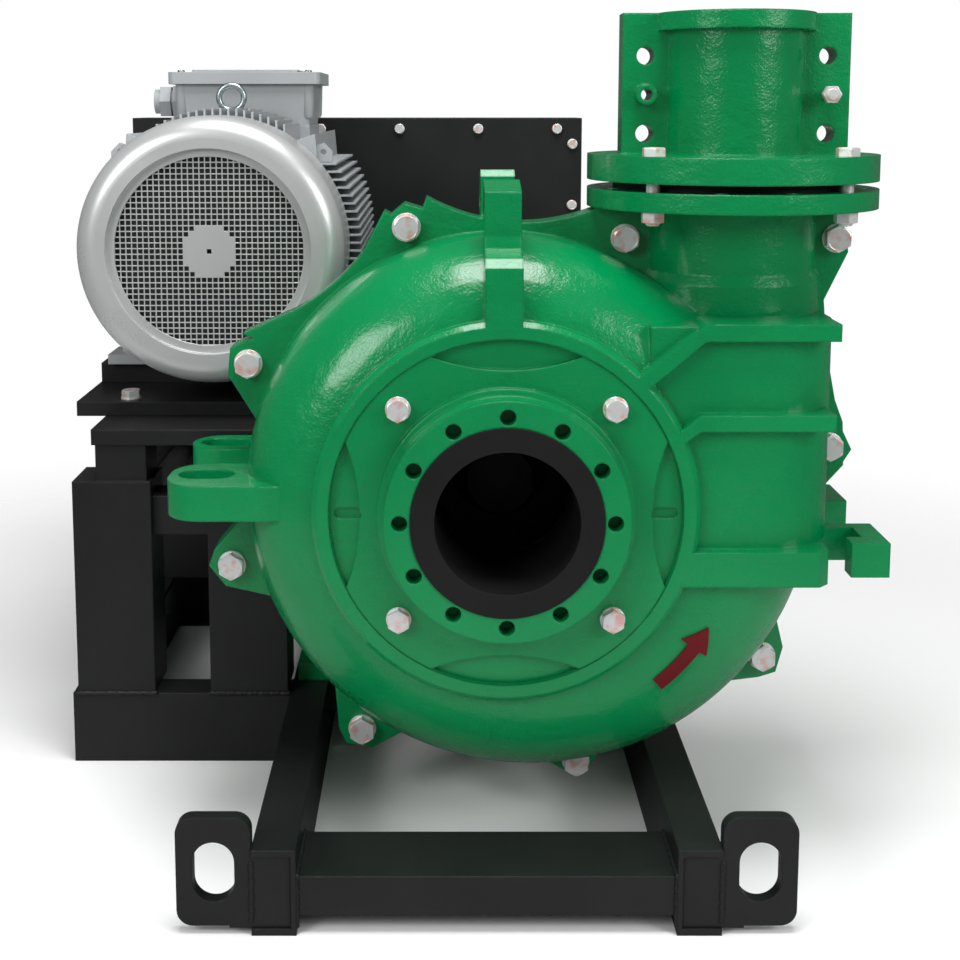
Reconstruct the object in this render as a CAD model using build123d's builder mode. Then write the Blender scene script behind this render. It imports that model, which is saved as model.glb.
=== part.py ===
"""Horizontal slurry pump set: pump, belt drive and motor on one welded base.

X runs across the pump to the right, seen from the suction side. Y runs along the shaft, from the
suction flange to the belt drive. Z is up. The origin is the centre of the suction flange face, on
the shaft line. All sizes are in millimetres.
"""

import math
import os

from build123d import *

os.makedirs("parts", exist_ok=True)

# Fits that are used all over the set
seat_gap = 0.3
running_gap = 0.05

# Shaft line above the floor, and the planes along the shaft
shaft_height = 537.0
split_y = 265.0
casing_front_y = 60.0

# Suction flange, to the DN200 PN16 table
suction_bore = 200.0
suction_flange_od = 340.0
suction_pcd = 295.0
suction_holes = 12
suction_hole = 22.0
suction_hole_depth = 30.0
suction_flange_thickness = 34.0
suction_lip_od = 266.0
suction_lip_stand = 2.0
liner_thickness = 18.0

# Suction cover, the round plate that closes the front casing half
cover_od = 494.0
cover_face_y = 44.0
cover_thickness = 26.0
cover_boss_od = 360.0
cover_bolt_reach = 150.0
pocket_depth = 9.0
pocket_width = 42.0
drain_slot_reach = 221.0
drain_slot_length = 38.0
drain_slot_width = 15.0
cover_spigot_od = 399.0

# Volute casing, split across the shaft into two halves
volute_top_radius = 380.0
spiral_start = 180.0
spiral_growth = 42.0
top_arc_end = 60.0
shoulder_rounding = 180.0
dome_rounding = 140.0
rear_rounding = 165.0
cavity_rounding = 105.0
casing_wall = 30.0
front_wall = 40.0
plate_thickness = 28.0
ring_od = 544.0
ring_rise = 18.0
rib_width = 52.0
lobe_reach = 36.0
bottom_lobe_reach = 25.0
lobe_root_inset = 22.0

# Discharge branch with its flange to the DN300 PN6 table, reduced to a DN150 bore
discharge_x = 345.0
discharge_bore = 150.0
neck_od = 254.0
neck_step = 7.0
neck_base_z = 308.0
shoulder_base_z = 262.0
side_right_x = 472.0
side_bottom_z = -104.0
side_rounding = 100.0
discharge_flange_od = 430.0
discharge_pcd = 386.0
discharge_holes = 12
discharge_hole = 22.0
lower_flange_z = 416.0
lower_flange_thickness = 28.0
seal_gap = 12.0
upper_flange_thickness = 38.0
spool_od = 204.0
spool_collar_od = 236.0
spool_collar_height = 26.0
spool_top_z = 700.0
wing_width = 336.0
wing_thickness = 46.0
wing_hole = 26.0
wing_hole_reach = 134.5
wing_hole_low_z = 524.0
wing_hole_pitch = 57.0

# Casing bolts, M24, by their places across and above the shaft
bolt_places = [
    (-142, 385),
    (-381, 179),
    (-411, -134),
    (-213, -397),
    (120, -449),
    (405, -279),
    (498, 52),
    (499, 369),
    (184, 369),
]
casing_bolt = 24.0
cover_bolt = 20.0
clearance_hole_extra = 2.0

# Feet and hooks that carry the casing halves on the left and the right
ear_left_x = -488.0
ear_bottom_z = -22.0
ear_thickness = 51.0
ear_front_y = 85.0
ear_depth = 137.0
ear_rounding = 55.0
ear_slot_length = 82.0
ear_slot_width = 53.0
rear_ear_y = 308.0
rear_ear_depth = 100.0
hook_bottom_z = -104.0
hook_thickness = 50.0
hook_right_x = 550.0

# Wet end
impeller_od = 510.0
impeller_width = 140.0
shroud_thickness = 18.0
vane_count = 5
vane_thickness = 22.0
side_liner_od = 360.0
liner_wall = 28.0
impeller_gap = 4.0

# Shaft, sleeve, stuffing box and gland
shaft_nose_d = 76.0
shaft_sleeve_seat_d = 90.0
sleeve_od = 110.0
bearing_seat_d = 110.0
shaft_mid_d = 130.0
shaft_end_d = 85.0
box_rear_y = 520.0
box_od = 200.0
box_bore = 144.0
packing_rings = 4
packing_size = 16.0
gland_flange_thickness = 18.0
gland_stud_reach = 112.0
gland_stud = 16.0

# Pedestal and bearing cartridge
pedestal_front_y = 470.0
pedestal_ring_od = 470.0
pedestal_ring_thickness = 30.0
pedestal_rear_y = 1060.0
pedestal_foot_thickness = 30.0
pedestal_bolt_pcd = 415.0
pedestal_bolt_depth = 36.0
saddle_front_y = 660.0
housing_od = 300.0
housing_front_y = 640.0
housing_rear_y = 1040.0
bearing_od = 215.0
bearing_width = 60.0
bearing_inset = 35.0
end_cover_thickness = 22.0

# Base frame of 120 by 60 channels
channel_height = 120.0
channel_flange = 60.0
channel_web = 7.0
channel_flange_thickness = 9.0
base_front_y = -100.0
left_web_x = -284.0
right_web_x = 225.0
crossbar_top_z = 81.0
crossbar_front_y = -95.0
crossbar_flange = 55.0
lug_thickness = 20.0
lug_reach = 100.5
lug_height = 152.0
lug_bottom = 12.0
lug_rounding = 22.0
lug_slot_width = 56.0
lug_slot_height = 84.0

# Motor stand
stand_front_y = 415.0
stand_left_x = -710.0
post_width = 130.0
post_depth = 100.0
post_wall = 8.0
left_post_x = -636.0
right_post_x = -413.0
stand_crossbeam_height = 66.0
stand_top_z = 10.0
top_plate_thickness = 26.0
top_plate_left_x = -667.0
top_plate_right_x = -348.0
motor_plate_thickness = 25.0
motor_plate_left_x = -716.0
motor_plate_front_y = 521.0
slide_rail_height = 37.3
slide_rail_width = 60.0

# Motor, IEC frame 225 M
motor_x = -478.0
motor_centre_height = 225.0
cowl_front_y = 475.0
cowl_length = 165.0
cowl_wall = 3.0
cowl_slot_place = 56.0
cowl_rounding = 34.0
cowl_lip_od = 344.0
grille_od = 317.0
grille_pitch = 19.2
grille_bar = 2.4
motor_length = 705.0
motor_body_od = 372.0
cowl_over_body = 40.0
side_fin_height = 61.0
top_fin_height = 52.0
fin_pitch = 14.0
side_fins = 10
top_fins = 8
fin_thickness = 4.0
motor_shaft_d = 60.0
motor_shaft_length = 140.0
foot_gauge = 356.0
foot_pitch = 311.0
foot_to_shoulder = 149.0
foot_width = 80.0
foot_length = 90.0
foot_thickness = 18.0

# Belt drive with five narrow V belts
belt_count = 5
belt_spacing = 19.0
belt_top_width = 15.4
belt_height = 13.0
pump_pulley_d = 355.0
motor_pulley_d = 240.0
pulley_edge = 12.5
groove_depth = 17.5
groove_angle = 36.0
pulley_web = 24.0
guard_depth = 155.0
guard_sheet = 3.0
guard_left_x = -750.0
guard_right_x = 212.0
guard_top_z = 540.0
guard_bottom_z = -215.0

# Values that follow from the sizes above
floor_z = -shaft_height
rail_top_z = floor_z + channel_height
split_back_y = 2 * split_y
casing_back_y = split_back_y - casing_front_y
lower_flange_top_z = lower_flange_z + lower_flange_thickness
upper_flange_z = lower_flange_top_z + seal_gap
upper_flange_top_z = upper_flange_z + upper_flange_thickness
motor_plate_z = stand_top_z + top_plate_thickness
slide_rail_z = motor_plate_z + motor_plate_thickness
motor_foot_z = slide_rail_z + slide_rail_height
motor_z = motor_foot_z + motor_centre_height
motor_shoulder_y = cowl_front_y + motor_length
rear_foot_y = motor_shoulder_y - foot_to_shoulder
front_foot_y = rear_foot_y - foot_pitch
cowl_od = motor_body_od + 2 * cowl_over_body
side_fin_reach = motor_body_od / 2 + side_fin_height
top_fin_reach = motor_body_od / 2 + top_fin_height
belt_plane_y = motor_shoulder_y + 25
guard_front_y = belt_plane_y - 15
shaft_end_y = belt_plane_y + 100
base_rear_y = belt_plane_y + 125
stand_rear_y = motor_shoulder_y - 70
eye_y = motor_shoulder_y - 400


def across(y):
    """Plane across the shaft at y: local x to the right, local y up, normal to the suction side."""
    return Plane(origin=(0, y, 0), x_dir=(1, 0, 0), z_dir=(0, -1, 0))


def across_at(x, y, z):
    """Plane across the shaft with its own centre."""
    return Plane(origin=(x, y, z), x_dir=(1, 0, 0), z_dir=(0, -1, 0))


def finish(piece, name):
    """Label a finished piece and write it."""
    piece.label = name
    export_step(piece, f"parts/{name}.step")


def turned(profile, x=0.0, z=0.0):
    """Solid turned about a line along Y, from (radius, y) points."""
    with BuildPart() as solid:
        with BuildSketch(Plane(origin=(x, 0, z), x_dir=(1, 0, 0), z_dir=(0, 0, 1))):
            with BuildLine():
                Polyline(*profile, close=True)
            make_face()
        revolve(axis=Axis((x, 0, z), (0, 1, 0)))
    return solid.part


def upright(profile, x, y):
    """Solid turned about an upright line, from (radius, z) points."""
    with BuildPart() as solid:
        with BuildSketch(Plane(origin=(x, y, 0), x_dir=(1, 0, 0), z_dir=(0, -1, 0))):
            with BuildLine():
                Polyline(*profile, close=True)
            make_face()
        revolve(axis=Axis((x, y, 0), (0, 0, 1)))
    return solid.part


def block(x_range, y_range, z_range):
    """Plain rectangular solid between two corners."""
    with BuildPart() as solid:
        with BuildSketch(Plane.XY.offset(z_range[0])):
            with Locations(((x_range[0] + x_range[1]) / 2, (y_range[0] + y_range[1]) / 2)):
                Rectangle(x_range[1] - x_range[0], y_range[1] - y_range[0])
        extrude(amount=z_range[1] - z_range[0])
    return solid.part


def hex_bolt(size, grip, head_plane, washer=True, nut=True):
    """Hex bolt with washers and nut, its head seated on head_plane and its shank going down."""
    head_height = 0.62 * size
    flats = 1.5 * size
    washer_height = 0.16 * size if washer else 0.0
    with BuildPart() as bolt:
        if washer:
            with BuildSketch(head_plane):
                Circle(0.9 * size)
            extrude(amount=washer_height)
        with BuildSketch(head_plane.offset(washer_height)):
            RegularPolygon(flats / 2, 6, major_radius=False)
        extrude(amount=head_height)
        if grip > 0:
            with BuildSketch(head_plane):
                Circle(size / 2)
            extrude(amount=-(grip + (size if nut else 0.0)))
        if nut:
            with BuildSketch(head_plane.offset(-grip)):
                RegularPolygon(flats / 2, 6, major_radius=False)
            extrude(amount=-0.8 * size)
    return bolt.part


# Volute shape: a round top arc, a wider arc round the bottom, and a straight right side
def volute_outline(inset):
    """Outline of the volute across the shaft, moved inwards by inset."""
    turn = math.radians(spiral_start)
    centre = (-spiral_growth * math.cos(turn), -spiral_growth * math.sin(turn))
    top_radius = volute_top_radius - inset
    wide_radius = volute_top_radius + spiral_growth - inset
    right = centre[0] + wide_radius
    end = math.radians(top_arc_end)
    top_end = (top_radius * math.cos(end), top_radius * math.sin(end))
    run = (right - top_end[0]) / math.sin(end)
    corner = (right, top_end[1] - run * math.cos(end))
    with BuildSketch() as outline:
        with BuildLine():
            CenterArc((0, 0), top_radius, top_arc_end, spiral_start - top_arc_end)
            CenterArc(centre, wide_radius, spiral_start, 360 - spiral_start)
            FilletPolyline((right, centre[1]), corner, top_end, radius=shoulder_rounding - inset)
        make_face()
    return outline.sketch


def volute_reach(angle):
    """Distance from the shaft to the volute's wide arc at an angle from +X."""
    turn = math.radians(spiral_start)
    cx, cz = -spiral_growth * math.cos(turn), -spiral_growth * math.sin(turn)
    along = cx * math.cos(math.radians(angle)) + cz * math.sin(math.radians(angle))
    aside = math.hypot(cx, cz) ** 2 - along**2
    if top_arc_end <= angle % 360 <= spiral_start:
        return volute_top_radius
    return along + math.sqrt((volute_top_radius + spiral_growth) ** 2 - aside)


def volute_slice(inset, front, back):
    """Slice of the volute between two planes across the shaft."""
    with BuildPart() as slice_part:
        with BuildSketch(across(back)):
            add(volute_outline(inset))
        extrude(amount=back - front)
    return slice_part.part


def discharge_neck():
    """Round neck of the discharge branch, front half, with its half flange."""
    with BuildPart() as neck:
        add(
            upright(
                [
                    (0, 0),
                    (neck_od / 2 + neck_step, 0),
                    (neck_od / 2 + neck_step, neck_base_z),
                    (neck_od / 2, neck_base_z + 2 * neck_step),
                    (neck_od / 2, lower_flange_z),
                    (discharge_flange_od / 2, lower_flange_z),
                    (discharge_flange_od / 2, lower_flange_top_z),
                    (0, lower_flange_top_z),
                ],
                discharge_x,
                split_y,
            )
        )
        split(bisect_by=across(split_y), keep=Keep.TOP)
    return neck.part


def casing_plate_outline():
    """Outline of the bolting plates along the casing split, with a pointed lobe at each bolt."""
    with BuildSketch() as outline:
        add(volute_outline(lobe_root_inset))
        for x, z in bolt_places[:7]:
            angle = math.degrees(math.atan2(z, x))
            reach = math.hypot(x, z)
            root = volute_reach(angle) - lobe_root_inset
            lobe = bottom_lobe_reach if (x, z) == bolt_places[4] else lobe_reach
            tips = [
                (reach + lobe * math.cos(math.radians(turn)), lobe * math.sin(math.radians(turn)))
                for turn in (55, -15, -60)
            ]
            spread = math.radians(15)
            corners = [
                (root * math.cos(spread), root * math.sin(spread)),
                *tips,
                (root * math.cos(spread), -root * math.sin(spread)),
            ]
            cosine, sine = math.cos(math.radians(angle)), math.sin(math.radians(angle))
            Polygon(
                *[(r * cosine - t * sine, r * sine + t * cosine) for r, t in corners],
                align=None,
            )
        # Sweep between the two upper left lobes
        with BuildLine():
            Polyline((-390, 224), (-300, 190), (-150, 300), (-130, 385), (-176, 409), (-208, 348))
            ThreePointArc((-208, 348), (-255, 298), (-313, 258))
            Line((-313, 258), (-390, 224))
        make_face()
        # Plate from the lifting lug along the top to the discharge flange
        with BuildLine():
            ThreePointArc((-112, 430), (10, 393), (discharge_x - discharge_flange_od / 2 + 8, 412))
            Polyline(
                (discharge_x - discharge_flange_od / 2 + 8, 412),
                (discharge_x - discharge_flange_od / 2 + 8, lower_flange_z),
                (510, lower_flange_z),
                (514, 393),
                (518, 348),
                (484, 276),
                (491, 197),
                (506, 123),
                (519, 89),
                (522, 22),
                (474, -32),
                (300, -32),
                (100, 300),
                (-142, 350),
                (-112, 430),
            )
        make_face()
    return outline.sketch


def casing_form(rounding):
    """Outside of the front casing half without its cover seat, feet and lugs."""
    with BuildPart() as form:
        add(volute_slice(0, casing_front_y, split_y))
        fillet(form.faces().sort_by(Axis.Y)[0].edges(), rounding)
        with BuildSketch(Plane.XY.offset(side_bottom_z)) as side:
            with BuildLine():
                Polyline(
                    (200, casing_front_y),
                    (side_right_x, casing_front_y),
                    (side_right_x, split_y),
                    (200, split_y),
                    close=True,
                )
            make_face()
            fillet(side.vertices().sort_by(Axis.X)[-2:].sort_by(Axis.Y)[0], side_rounding)
        extrude(amount=shoulder_base_z - side_bottom_z)
        add(discharge_neck())
        with BuildSketch(across(split_y)):
            add(casing_plate_outline())
        extrude(amount=plate_thickness)
    return form.part


def casing_cavity():
    """Space inside one casing half, drawn in the front half, with the discharge bore."""
    with BuildPart() as cavity:
        add(volute_slice(casing_wall, casing_front_y + front_wall, split_y))
        fillet(cavity.faces().sort_by(Axis.Y)[0].edges(), cavity_rounding)
        with BuildSketch(Plane.XY.offset(0)):
            with Locations((discharge_x, split_y)):
                Circle(discharge_bore / 2 + liner_wall)
        extrude(amount=lower_flange_top_z)
        split(bisect_by=across(split_y), keep=Keep.TOP)
    return cavity.part


def foot_plate(front, depth):
    """Left foot: a flat plate with a rounded end and a slot."""
    with BuildPart() as foot:
        with BuildSketch(Plane.XY.offset(ear_bottom_z)) as plan:
            with BuildLine():
                Polyline(
                    (ear_left_x, front),
                    (-300, front),
                    (-300, front + depth),
                    (ear_left_x, front + depth),
                    close=True,
                )
            make_face()
            fillet(plan.vertices().sort_by(Axis.X)[:2], min(ear_rounding, depth * 0.49))
            with Locations((ear_left_x + 13 + ear_slot_length / 2, front + depth / 2 + 3)):
                SlotOverall(ear_slot_length, min(ear_slot_width, depth * 0.5), mode=Mode.SUBTRACT)
        extrude(amount=ear_thickness)
    return foot.part


def hook_plate(front):
    """Right foot: a flat plate with an open hook."""
    inner = hook_right_x - 94
    with BuildPart() as hook:
        with BuildSketch(Plane.XY.offset(hook_bottom_z)):
            with BuildLine():
                Polyline(
                    (300, front),
                    (inner, front),
                    (inner, front + 80),
                    (hook_right_x - 32, front + 80),
                    (hook_right_x - 32, front + 33),
                    (hook_right_x - 55, front + 33),
                    (hook_right_x - 55, front),
                    (hook_right_x, front),
                    (hook_right_x, front + 100),
                    (300, front + 100),
                    close=True,
                )
            make_face()
        extrude(amount=hook_thickness)
    return hook.part


def hook_space(front):
    """Free space in the mouth and the pocket of the right foot's hook."""
    inner = hook_right_x - 94
    top = hook_bottom_z + hook_thickness
    with BuildPart() as space:
        add(block((inner, hook_right_x - 55), (front - 1, front + 34), (hook_bottom_z - 1, top)))
        add(block((inner, hook_right_x - 32), (front + 33, front + 80), (hook_bottom_z - 1, top)))
    return space.part


def bolt_bores(front, back):
    """Clearance holes for the casing bolts between two planes."""
    with BuildPart() as bores:
        with BuildSketch(across(back)):
            with Locations(*bolt_places):
                Circle((casing_bolt + clearance_hole_extra) / 2)
        extrude(amount=back - front)
    return bores.part


def spot_faces(front, back):
    """Flat seats for the heads and the nuts of the casing bolts between two planes."""
    with BuildPart() as seats:
        with BuildSketch(across(back)):
            with Locations(*bolt_places):
                Circle(casing_bolt + 3)
        extrude(amount=back - front)
    return seats.part


half_casing = casing_form(dome_rounding)
half_cavity = casing_cavity()
ring_front_y = casing_front_y - ring_rise

# Front casing half
with BuildPart() as casing_front:
    add(half_casing)
    # Raised ring round the cover and the rib up to the lifting lug
    with BuildSketch(across(casing_front_y + 30)):
        Circle(ring_od / 2)
    extrude(amount=ring_rise + 30)
    chamfer(casing_front.faces().sort_by(Axis.Y)[0].edges(), 7)
    with BuildSketch(Plane(origin=(rib_width / 2 - 4, 0, 0), x_dir=(0, 1, 0), z_dir=(1, 0, 0))):
        with BuildLine():
            Polyline(
                (ring_front_y, 240),
                (ring_front_y, 345),
                (ring_front_y + 14, 357),
                (ring_front_y + 50, 366),
                (ring_front_y + 55, 384),
                (ring_front_y + 55, 446),
                (ring_front_y + 120, 460),
                (ring_front_y + 125, 375),
                (split_y - plate_thickness, 375),
                (split_y - plate_thickness, 240),
                close=True,
            )
        make_face()
    extrude(amount=-rib_width)
    # Ribs over the discharge side
    with BuildSketch(across(casing_front_y + 60)):
        with BuildLine():
            Polyline(
                (182, 195),
                (273, 268),
                (458, 268),
                (458, 244),
                (273, 244),
                (198, 180),
                (150, 150),
                close=True,
            )
        make_face()
        with BuildLine():
            Polyline(
                (225, 107),
                (240, 118),
                (269, 141),
                (455, 141),
                (455, 118),
                (269, 118),
                (230, 90),
                (200, 90),
                close=True,
            )
        make_face()
    extrude(amount=60 + ring_rise)
    with BuildSketch(Plane.XY.offset(hook_bottom_z)):
        with BuildLine():
            Polyline(
                (200, ring_front_y),
                (439, ring_front_y),
                (hook_right_x - 96, ring_front_y + 15),
                (hook_right_x - 94, ear_front_y + 80),
                (200, ear_front_y + 80),
                close=True,
            )
        make_face()
    extrude(amount=hook_thickness)
    add(foot_plate(ear_front_y, ear_depth))
    add(hook_plate(ear_front_y))
    add(hook_space(ear_front_y), mode=Mode.SUBTRACT)
    # Seat of the suction cover, and the space for the liners
    with BuildSketch(across(cover_face_y + cover_thickness)):
        Circle(cover_od / 2 + seat_gap)
    extrude(amount=cover_thickness + 40, mode=Mode.SUBTRACT)
    with BuildSketch(across(split_y)):
        Circle(cover_spigot_od / 2 + seat_gap)
    extrude(amount=split_y - cover_face_y, mode=Mode.SUBTRACT)
    add(half_cavity, mode=Mode.SUBTRACT)
    add(bolt_bores(0, split_y), mode=Mode.SUBTRACT)
    add(spot_faces(split_y - plate_thickness - 60, split_y - plate_thickness), mode=Mode.SUBTRACT)
    with BuildSketch(Plane.XY.offset(lower_flange_top_z)):
        with Locations((discharge_x, split_y)):
            with PolarLocations(discharge_pcd / 2, discharge_holes, start_angle=15):
                Circle(discharge_hole / 2)
    extrude(amount=-lower_flange_thickness, mode=Mode.SUBTRACT)
    with BuildSketch(across(cover_face_y + cover_thickness)):
        with GridLocations(2 * cover_bolt_reach, 2 * cover_bolt_reach, 2, 2):
            Circle(cover_bolt / 2)
    extrude(amount=-20, mode=Mode.SUBTRACT)
finish(casing_front.part, "casing_front")

# Rear casing half, a mirror of the front shape with its own feet
with BuildPart() as casing_rear:
    add(mirror(casing_form(rear_rounding), about=across(split_y)))
    with BuildSketch(Plane(origin=(rib_width / 2 - 4, 0, 0), x_dir=(0, 1, 0), z_dir=(1, 0, 0))):
        with BuildLine():
            Polyline(
                (split_y + plate_thickness, 240),
                (split_y + plate_thickness, 458),
                (split_y + plate_thickness + 10, 468),
                (split_y + plate_thickness + 62, 463),
                (split_y + plate_thickness + 90, 430),
                (split_y + plate_thickness + 90, 360),
                (casing_back_y - 30, 300),
                (casing_back_y - 30, 240),
                close=True,
            )
        make_face()
        with Locations((split_y + plate_thickness + 42, 425)):
            Circle(20, mode=Mode.SUBTRACT)
    extrude(amount=-rib_width)
    add(foot_plate(rear_ear_y, rear_ear_depth))
    add(hook_plate(rear_ear_y))
    add(hook_space(rear_ear_y), mode=Mode.SUBTRACT)
    add(mirror(half_cavity, about=across(split_y)), mode=Mode.SUBTRACT)
    with BuildSketch(across(casing_back_y)):
        Circle(box_od / 2 + seat_gap)
    extrude(amount=casing_back_y - split_y, mode=Mode.SUBTRACT)
    add(bolt_bores(split_y, casing_back_y), mode=Mode.SUBTRACT)
    add(spot_faces(split_y + plate_thickness, split_y + plate_thickness + 60), mode=Mode.SUBTRACT)
    with BuildSketch(across(casing_back_y)):
        with PolarLocations(pedestal_bolt_pcd / 2, 8, start_angle=22.5):
            Circle(cover_bolt / 2 + seat_gap)
    extrude(amount=pedestal_bolt_depth, mode=Mode.SUBTRACT)
    with BuildSketch(Plane.XY.offset(lower_flange_top_z)):
        with Locations((discharge_x, split_y)):
            with PolarLocations(discharge_pcd / 2, discharge_holes, start_angle=15):
                Circle(discharge_hole / 2)
    extrude(amount=-lower_flange_thickness, mode=Mode.SUBTRACT)
finish(casing_rear.part, "casing_rear")

wet_front_y = casing_front_y + front_wall
wet_back_y = 2 * split_y - wet_front_y
impeller_front_y = split_y - impeller_width / 2
impeller_back_y = split_y + impeller_width / 2
cover_back_y = cover_face_y + cover_thickness
corner_signs = [(-1, -1), (-1, 1), (1, -1), (1, 1)]


# Suction cover with its flange, seated in the front casing half
liner_radius = suction_bore / 2 + liner_thickness
pocket_half = 104.0
rim = cover_od / 2 - 1.0
chord = math.sqrt(rim**2 - pocket_half**2)
with BuildSketch() as lens:
    with BuildLine():
        ThreePointArc((chord, -pocket_half), (rim, 0), (chord, pocket_half))
        ThreePointArc((chord, pocket_half), (rim - pocket_width, 0), (chord, -pocket_half))
    make_face()
with BuildPart() as suction_cover:
    add(
        turned(
            [
                (liner_radius + seat_gap, 6),
                (suction_lip_od / 2 + seat_gap, 6),
                (suction_lip_od / 2 + seat_gap, 0),
                (suction_flange_od / 2, 0),
                (suction_flange_od / 2, suction_flange_thickness),
                (cover_boss_od / 2, suction_flange_thickness + 2),
                (cover_boss_od / 2, cover_face_y),
                (cover_od / 2, cover_face_y),
                (cover_od / 2, cover_back_y),
                (cover_spigot_od / 2, cover_back_y),
                (cover_spigot_od / 2, wet_front_y),
                (liner_radius + seat_gap, wet_front_y),
            ]
        )
    )
    with BuildSketch(across(0)):
        with PolarLocations(suction_pcd / 2, suction_holes, start_angle=90):
            Circle(suction_hole / 2)
    extrude(amount=-suction_hole_depth, mode=Mode.SUBTRACT)
    with BuildSketch(across(cover_face_y)):
        with Locations(*[(sx * cover_bolt_reach, sz * cover_bolt_reach) for sx, sz in corner_signs]):
            Circle((cover_bolt + clearance_hole_extra) / 2)
    extrude(amount=-cover_thickness, mode=Mode.SUBTRACT)
    # Four lens-shaped pockets against the rim of the cover
    with BuildSketch(across(cover_face_y)):
        with PolarLocations(0, 4):
            add(lens.sketch)
    extrude(amount=-pocket_depth, mode=Mode.SUBTRACT)
    # Drain slots in the left and the right pocket
    with BuildSketch(across(cover_face_y)):
        with Locations((-drain_slot_reach, 0), (drain_slot_reach, 0)):
            SlotOverall(drain_slot_length, drain_slot_width)
    extrude(amount=-cover_thickness / 2, mode=Mode.SUBTRACT)
finish(suction_cover.part, "suction_cover")

# Rubber suction liner: a lip on the flange face, a tube and a thick inner disc
suction_liner = turned(
    [
        (suction_bore / 2, -suction_lip_stand),
        (suction_lip_od / 2, -suction_lip_stand),
        (suction_lip_od / 2, 6),
        (liner_radius, 6),
        (liner_radius, wet_front_y),
        (side_liner_od / 2 - seat_gap, wet_front_y),
        (side_liner_od / 2 - seat_gap, impeller_front_y - impeller_gap),
        (suction_bore / 2, impeller_front_y - impeller_gap),
    ]
)
finish(suction_liner, "suction_liner")

# Volute liner in one piece inside both casing halves
def liner_space():
    """Space inside the volute liner."""
    with BuildPart() as space:
        add(
            volute_slice(
                casing_wall + seat_gap + liner_wall, wet_front_y + liner_wall, wet_back_y - liner_wall
            )
        )
        faces = space.faces().sort_by(Axis.Y)
        fillet(faces[0].edges() + faces[-1].edges(), cavity_rounding - liner_wall)
    return space.part


with BuildPart() as volute_liner:
    add(volute_slice(casing_wall + seat_gap, wet_front_y + seat_gap, wet_back_y - seat_gap))
    faces = volute_liner.faces().sort_by(Axis.Y)
    fillet(faces[0].edges() + faces[-1].edges(), cavity_rounding)
    with BuildSketch(Plane.XY.offset(0)):
        with Locations((discharge_x, split_y)):
            Circle(discharge_bore / 2 + liner_wall - seat_gap)
    extrude(amount=lower_flange_top_z)
    add(liner_space(), mode=Mode.SUBTRACT)
    with BuildSketch(Plane.XY.offset(0)):
        with Locations((discharge_x, split_y)):
            Circle(discharge_bore / 2)
    extrude(amount=lower_flange_top_z, mode=Mode.SUBTRACT)
    with BuildSketch(across(wet_back_y)):
        Circle(side_liner_od / 2)
    extrude(amount=wet_back_y - wet_front_y, mode=Mode.SUBTRACT)
finish(volute_liner.part, "volute_liner")

# Back liner round the shaft sleeve
back_liner = turned(
    [
        (sleeve_od / 2 + 5, impeller_back_y + impeller_gap),
        (side_liner_od / 2 - seat_gap, impeller_back_y + impeller_gap),
        (side_liner_od / 2 - seat_gap, wet_back_y - seat_gap),
        (sleeve_od / 2 + 5, wet_back_y - seat_gap),
    ]
)
finish(back_liner, "back_liner")

# Closed impeller: two shrouds, five swept-back vanes and the hub on the shaft nose
vane_tip = impeller_od / 2
with BuildSketch() as vane:
    with BuildLine():
        ThreePointArc((105, 0), (190, 25), (vane_tip - 2, 110 - vane_thickness))
        Line((vane_tip - 2, 110 - vane_thickness), (vane_tip - 20, 110))
        ThreePointArc((vane_tip - 20, 110), (180, 25 + vane_thickness), (105, vane_thickness))
        Line((105, vane_thickness), (105, 0))
    make_face()
with BuildPart() as impeller:
    add(
        turned(
            [
                (suction_bore / 2, impeller_front_y),
                (impeller_od / 2, impeller_front_y),
                (impeller_od / 2, impeller_front_y + shroud_thickness),
                (suction_bore / 2 + 6, impeller_front_y + shroud_thickness),
            ]
        )
    )
    add(
        turned(
            [
                (shaft_nose_d / 2 + running_gap, impeller_back_y),
                (impeller_od / 2, impeller_back_y),
                (impeller_od / 2, impeller_back_y - shroud_thickness),
                (75, impeller_back_y - shroud_thickness - 10),
                (50, impeller_front_y + 35),
                (0, impeller_front_y + 25),
                (0, impeller_front_y + 50),
                (shaft_nose_d / 2 + running_gap, impeller_front_y + 50),
            ]
        )
    )
    with BuildSketch(across(impeller_back_y - shroud_thickness)):
        with PolarLocations(0, vane_count):
            add(vane.sketch)
        Circle(vane_tip - 0.5, mode=Mode.INTERSECT)
    extrude(amount=impeller_width - 2 * shroud_thickness)
finish(impeller.part, "impeller")

# Shaft, from the impeller nose to the pulley end
front_bearing_y = housing_front_y + bearing_inset
rear_bearing_y = housing_rear_y - bearing_inset - bearing_width
with BuildPart() as shaft:
    add(
        turned(
            [
                (0, impeller_front_y + 51),
                (shaft_nose_d / 2, impeller_front_y + 51),
                (shaft_nose_d / 2, impeller_back_y),
                (shaft_sleeve_seat_d / 2, impeller_back_y),
                (shaft_sleeve_seat_d / 2, box_rear_y + 45),
                (bearing_seat_d / 2, box_rear_y + 50),
                (bearing_seat_d / 2, front_bearing_y + bearing_width),
                (shaft_mid_d / 2, front_bearing_y + bearing_width),
                (shaft_mid_d / 2, rear_bearing_y),
                (bearing_seat_d / 2, rear_bearing_y),
                (bearing_seat_d / 2, housing_rear_y + end_cover_thickness + 8),
                (shaft_end_d / 2, housing_rear_y + end_cover_thickness + 12),
                (shaft_end_d / 2, shaft_end_y),
                (0, shaft_end_y),
            ]
        )
    )
finish(shaft.part, "shaft")

shaft_sleeve = turned(
    [
        (shaft_sleeve_seat_d / 2 + running_gap, impeller_back_y),
        (sleeve_od / 2, impeller_back_y),
        (sleeve_od / 2, box_rear_y + 40),
        (shaft_sleeve_seat_d / 2 + running_gap, box_rear_y + 40),
    ]
)
finish(shaft_sleeve, "shaft_sleeve")

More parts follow.
